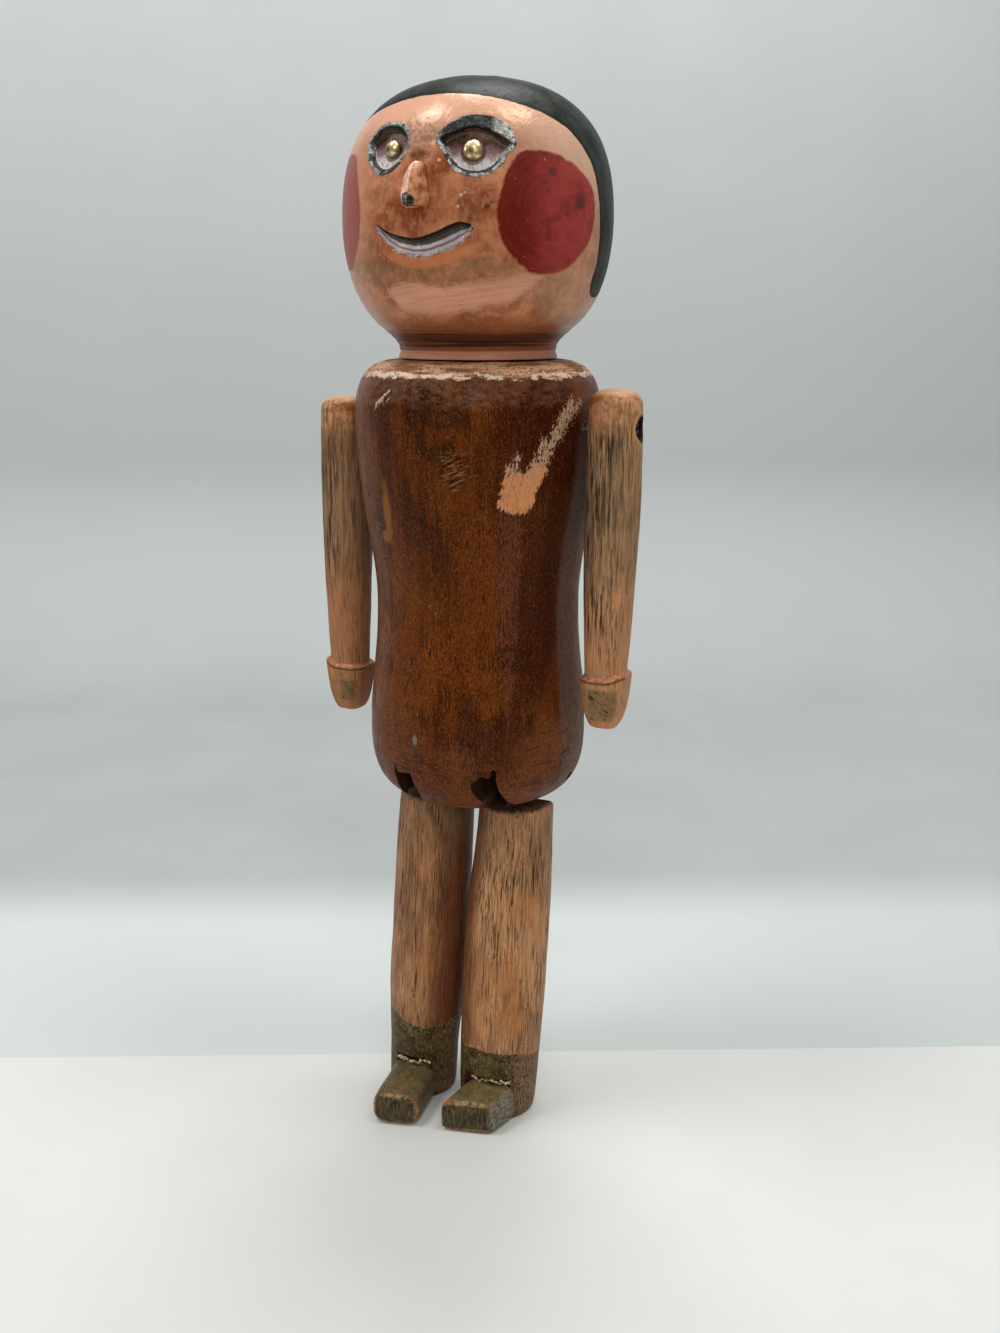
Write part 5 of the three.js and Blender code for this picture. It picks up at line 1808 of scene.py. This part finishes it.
def foot_fields(side, points):
    """Worn edges and other marks of a foot."""
    sign = SIDES[side]
    length = FOOT_LENGTHS[side]
    x, y, z = points.T
    forward = FLAT_Y - HEEL_GAP - y
    along = np.clip(forward / length, 0, 1.2)
    aside = x - sign * HIP_PIN[0] - TOE_SHIFTS[side] * along
    along = (forward + aside * math.tan(math.radians(TOE_SKEW)) * along) / length
    toe = (1 - along) * length
    gaps = TOE_HALVES[side] - np.abs(aside), np.maximum(0, 9.2 - z), z
    nearest = np.minimum.reduce([np.hypot(toe, gap) for gap in gaps])
    if side == "right":
        rubs = [(5.4, 0.6, 7.4, 1.5)]
    else:
        rubs = [(-5.4, 0.9, 8.2, 1.9), (4.0, 4.4, 9.4, 1.4)]
    rubbed = np.full(z.shape, OUTSIDE)
    for at_side, at_toe, at_height, size in rubs:
        reach = np.hypot(np.hypot(aside - at_side, (toe - at_toe) * 0.7), z - at_height)
        rubbed = np.maximum(rubbed, size - reach)
    return {
        "edge": nearest - 0.5,
        "rubbed": rubbed,
        "scuffed": np.where(side == "left", aside - 5.4, OUTSIDE),
        "toe": toe,
    }


def build_leg(side, seed):
    sign = SIDES[side]
    x0 = sign * HIP_PIN[0]
    if side == "left":
        marks = [0, 0.3, 1.2, 6, 14, 23, 35, 45, 57, 77, 85.6, 92]
        radii = [9.2, 9.7, 10.0, 10.4, 10.7, 11.0, 11.2, 11.2, 11.0, 10.0, 9.7, 9.6]
    else:
        marks = [0, 0.3, 1.2, 6, 14, 20, 34, 57, 80, 85.6, 92]
        radii = [8.6, 8.9, 9.1, 9.3, 9.5, 9.9, 10.5, 10.4, 10.1, 9.8, 9.6]
    heights = np.unique(np.r_[
        np.linspace(0, 1.4, 8), np.linspace(1.4, 80, 120), np.linspace(80, 92, 70),
    ])
    radius = flow(marks, radii, heights)[:, None]
    turns = np.radians(np.arange(0, 360, 3))[None, :]
    middle_x = x0 - sign * leg_lean_in(side, heights)
    middle = np.stack([middle_x, leg_axis_y(heights), heights], -1)[:, None]
    around = np.stack([np.sin(turns), -np.cos(turns), 0 * turns], -1)
    rings = middle + radius[..., None] * around
    # the edge round the top is worn off
    under = roof_level(rings[:, :, 1]) - rings[:, :, 2]
    edge = 1 - np.sqrt(1 - np.clip(1.0 - under, 0, 1) ** 2)
    uneven = 1 + 0.008 * lumps(rings, 9, 20 + sign) + 0.004 * lumps(rings, 3, 23)
    rings = middle + (radius * uneven - edge * 0.9)[..., None] * around
    rings[0, :, 2] = 0
    points, faces = skin(rings)
    tones = {"right": ((178, 122, 82), (134, 88, 56)), "left": ((206, 146, 98), (160, 110, 72))}
    paint = leg_finish(f"{side} leg paint", seed, *tones[side])
    leg = make_piece(f"{side}_leg_wood", points, faces, [paint], sharp_angle=50)
    top, bottom, front = FOOT_FLAT_HEIGHT, -3, FLAT_Y - 30
    flat = [(FLAT_Y, bottom), (FLAT_Y, top), (front, top), (front, bottom)]
    carve(leg, [
        block("leg top", roof_outline(), 0, x0 - 20, x0 + 20, paint),
        block("foot flat", flat, 0, x0 - 20, x0 + 20, SLOT_WOOD),
    ], sharp_angle=50)
    size, half = TONGUE_RADIUS, TONGUE_HALF_WIDTH
    arc = np.radians(np.arange(0, 181, 9))
    round_top = [(size * math.cos(a), HIP_PIN[2] + size * math.sin(a)) for a in arc]
    root = HIP_PIN[2] - 11.9
    tongue = leaned([(-size, root), (size, root), *round_top])
    carve(leg, [block("tongue", tongue, 0, x0 - half, x0 + half, SLOT_WOOD)], "UNION", 50)
    bore = round_cutter("pin bore", 1.55, x0 - 6, x0 + 6, HIP_PIN, SLOT_WOOD)
    carve(leg, [bore], sharp_angle=50)
    set_fields(leg, leg_fields(side, points_of(leg)))
    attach(leg, f"{side}_leg")
    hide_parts(f"{side}_leg")


def foot_rings(side):
    """Sections of a foot from the heel face forwards, each flat below and arched above."""
    length = FOOT_LENGTHS[side]
    marks = np.array([0, 0.25, 0.5, 0.75, 0.88, 0.94, 0.975, 1.0])
    if side == "right":
        halves = [6.4, 6.5, 6.5, 6.45, 6.35, 6.05, 5.6, 4.9]
        tops = [10.85, 10.55, 10.1, 9.6, 9.15, 8.85, 8.45, 7.9]
        lows = [0, 0, 0, 0, 0.05, 0.25, 0.6, 1.2]
        squares = [3.0, 2.7, 2.6, 2.7, 2.8, 2.8, 2.7, 2.6]
    else:
        halves = [6.7, 6.8, 6.9, 6.95, 6.95, 6.85, 6.65, 6.35]
        tops = [10.85, 10.4, 9.85, 9.35, 9.0, 8.75, 8.4, 8.0]
        lows = [0, 0, 0, 0, 0.05, 0.15, 0.4, 0.8]
        squares = [3.6, 3.6, 4.0, 5.0, 5.6, 5.6, 5.2, 4.6]
    shares = np.unique(np.r_[np.linspace(0, 0.86, 22), np.linspace(0.86, 1, 26)])
    half, top, low, square = (
        flow(marks, values, shares)[:, None] for values in (halves, tops, lows, squares)
    )
    turns = np.radians(np.arange(0, 360, 3.6))[None, :]
    across, up = np.sin(turns), -np.cos(turns)
    under = {"right": 3.2, "left": 5.0}[side]
    corner = np.where(up < 0, np.maximum(square, under), square)
    reach = square_reach(across, up, corner)
    aside = across * reach * half
    z = (top + low) / 2 + up * reach * (top - low) / 2
    along = shares[:, None] + 0 * turns
    x = SIDES[side] * HIP_PIN[0] + aside + TOE_SHIFTS[side] * along
    skew = aside * math.tan(math.radians(TOE_SKEW)) * along
    y = FLAT_Y - HEEL_GAP - along * length + skew
    rings = np.stack([x, y, z], -1)
    body = ease(z, 0.2, 1.5)
    push = 0.16 * (lumps(rings, 4.5, 31 + SIDES[side]) - 1) * body
    rings[:, :, 0] += push * np.sign(across)
    rings[:, :, 2] += 0.7 * push
    return rings


def build_foot(side, seed):
    rings = foot_rings(side)
    points, faces = skin(rings)
    faces = [face[::-1] for face in faces]
    paint = foot_finish(f"{side} boot paint", seed)
    foot = make_piece(
        f"{side}_foot_wood", points, faces, [paint], foot_fields(side, points), sharp_angle=40,
    )
    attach(foot, f"{side}_leg")
    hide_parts(f"{side}_foot")


def build_glue(side, recipe):
    """The bead of old glue squeezed out of the crack over a foot."""
    share = np.linspace(-1, 1, 60)
    half = {"right": 4.6, "left": 5.4}[side]
    x = SIDES[side] * HIP_PIN[0] + share * half + 0.2
    y = FLAT_Y - 0.9 - 0.9 * (1 - share**2) - 0.15 * np.sin(share * 7)
    slope = {"right": 0.35, "left": 0.55}[side]
    waves = 0.25 * np.sin(share * 5 + SIDES[side]), 0.12 * np.sin(share * 13)
    z = 11.5 + slope * share + waves[0] + waves[1]
    mesh = bpy.data.meshes.new("glue line")
    line = np.stack([x, y, z], -1) * MM
    mesh.from_pydata(line.tolist(), [(i, i + 1) for i in range(len(line) - 1)], [])
    path = add_object("glue line", mesh)
    glue = recipe.build(
        f"{side}_glue_bead", base=path, Spacing=0.26 * MM, Least_Size=0.16 * MM,
        Most_Size=0.42 * MM, Scatter=0.3 * MM, Seed=3 if side == "left" else 8,
    )
    bpy.data.objects.remove(path)
    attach(glue, f"{side}_leg")
    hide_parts(f"{side}_ankle_filler")


def build_legs():
    glue_recipe = crumb_recipe("glue bead", GLUE)
    for seed, side in zip((170, 200), SIDES):
        build_leg(side, seed)
        build_foot(side, seed + 50)
        build_glue(side, glue_recipe)


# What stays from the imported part


def dress_kept_nodes():
    """The pins and dowels inside the doll keep their own shape and get a real finish."""
    for name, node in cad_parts.items():
        finish = STEEL if name == "hip_pin" else BARE_WOOD
        for i in range(len(node.material_slots)):
            node.material_slots[i].material = finish


# Stage


def paper_finish(name, colour, shade):
    f = Finish(name)
    mottle = f.clouds(40, detail=4, seed=60)
    mixed = f.mix(shade, colour, f.rise(mottle, 0.3, 0.6))
    f.relief((f.clouds(0.8, detail=3, seed=61), 0.02))
    return f.done(mixed, 0.85, specular=0.15)


def sheet_finish():
    """Pale sheet with painted light and shade: a little darker from where the light behind the doll
    stops, lighter again up the bend and the wall, and darker towards +X.
    """
    f = Finish("pale grey sheet")
    behind = f.field("behind")
    colour = f.layers(
        f.mix((198, 203, 200), (162, 165, 163), f.rise(behind, 78, 128)),
        ((194, 197, 195), f.rise(behind, 330, 520)),
        ((210, 214, 213), f.rise(behind, 560, 860)),
    )
    right = f.times(f.rise(f.level("X"), -60, 160), 0.35)
    colour = f.layers(colour, ((174, 178, 176), right))
    mottle = f.clouds(60, detail=4, seed=60)
    colour = f.layers(colour, ((186, 190, 188), f.rise(mottle, 0.3, 0.7), 0.2))
    f.relief((f.clouds(0.8, detail=3, seed=61), 0.02))
    return f.done(colour, 0.85, specular=0.15)


def lay_sheet(name, rows, finish):
    """A wide sheet through rows of (distance behind the paper's back edge, height). The edge
    runs askew behind the doll. The field behind is the distance along the sheet."""
    edge_start, edge_end = np.array([-129.5, -48.2]), np.array([135.8, 76.6])
    along = (edge_end - edge_start) / np.linalg.norm(edge_end - edge_start)
    back = np.array([-along[1], along[0]])
    middle, half = (edge_start + edge_end) / 2, 1100
    points = [
        (*(middle + along * reach + back * gap), z) for gap, z in rows for reach in (-half, half)
    ]
    faces = [(2 * i, 2 * i + 1, 2 * i + 3, 2 * i + 2) for i in range(len(rows) - 1)]
    behind = np.r_[0, np.cumsum(np.hypot(*np.diff(rows, axis=0).T))]
    return make_piece(name, np.array(points), faces, [finish], {"behind": np.repeat(behind, 2)})


def build_stage():
    """White paper under the doll, and a pale sheet behind that curves up to a wall."""
    white = paper_finish("white paper", (212, 212, 207), (209, 209, 204))
    paper = lay_sheet("floor_paper", [(-900, 0), (-400, 0), (-100, 0), (0, 0)], white)
    bend_start, radius, wall_top, below_paper = 330, 120, 480, -0.4
    angles = np.radians(np.linspace(0, 90, 26))
    rows = [(-1.0, below_paper)]
    for a in angles:
        level = below_paper + radius * (1 - math.cos(a))
        rows.append((bend_start + radius * math.sin(a), level))
    rows.append((bend_start + radius, wall_top))
    sheet = lay_sheet("backdrop_sheet", rows, sheet_finish())


def add_lamp(name, place, size, power, target=(0, 0, 130)):
    lamp = bpy.data.lights.new(name, "AREA")
    lamp.shape = "DISK"
    lamp.size = size * MM
    lamp.energy = power
    holder = add_object(name, lamp)
    holder.location = Vector(place) * MM
    aim = Vector(target) - Vector(place)
    holder.rotation_euler = aim.to_track_quat("-Z", "Y").to_euler()


def light_stage():
    world = bpy.data.worlds.new("soft room")
    world.use_nodes = True
    background = world.node_tree.nodes["Background"]
    background.inputs["Color"].default_value = (0.93, 0.97, 1.0, 1)
    background.inputs["Strength"].default_value = 0.28
    bpy.context.scene.world = world
    add_lamp("left ceiling lamp", (-330, -190, 1050), 270, 2.8)
    add_lamp("right ceiling lamp", (330, 60, 1060), 270, 2.8)
    add_lamp("ceiling lamp behind", (-60, 340, 1020), 420, 4.6, (0, 0, 60))
    add_lamp("front soft lamp", (500, -900, 900), 900, 4.3)
    add_lamp("left soft lamp", (-900, -500, 900), 900, 3.5)


def add_camera():
    """The photograph's view: a little from the doll's left, from above its waist."""
    azimuth, distance, height, pitch = math.radians(24), 312, 209, math.radians(15.9)
    photo_height, focal_pixels, shift_pixels, sensor = 1333, 1250, 22, 24
    camera = bpy.data.cameras.new("camera")
    camera.sensor_fit = "VERTICAL"
    camera.sensor_height = sensor
    camera.lens = sensor * focal_pixels / photo_height
    camera.shift_x = shift_pixels / photo_height
    holder = add_object("camera", camera)
    x, y = distance * math.sin(azimuth), AXIS_Y - distance * math.cos(azimuth)
    holder.location = Vector((x, y, height)) * MM
    holder.rotation_euler = (math.pi / 2 - pitch, 0, azimuth)
    bpy.context.scene.camera = holder


dress_kept_nodes()
build_torso()
build_head()
build_nose()
build_eye_pins()
build_arms()
build_screws()
build_legs()
build_stage()
light_stage()
add_camera()
bpy.context.scene.view_settings.view_transform = "Standard"
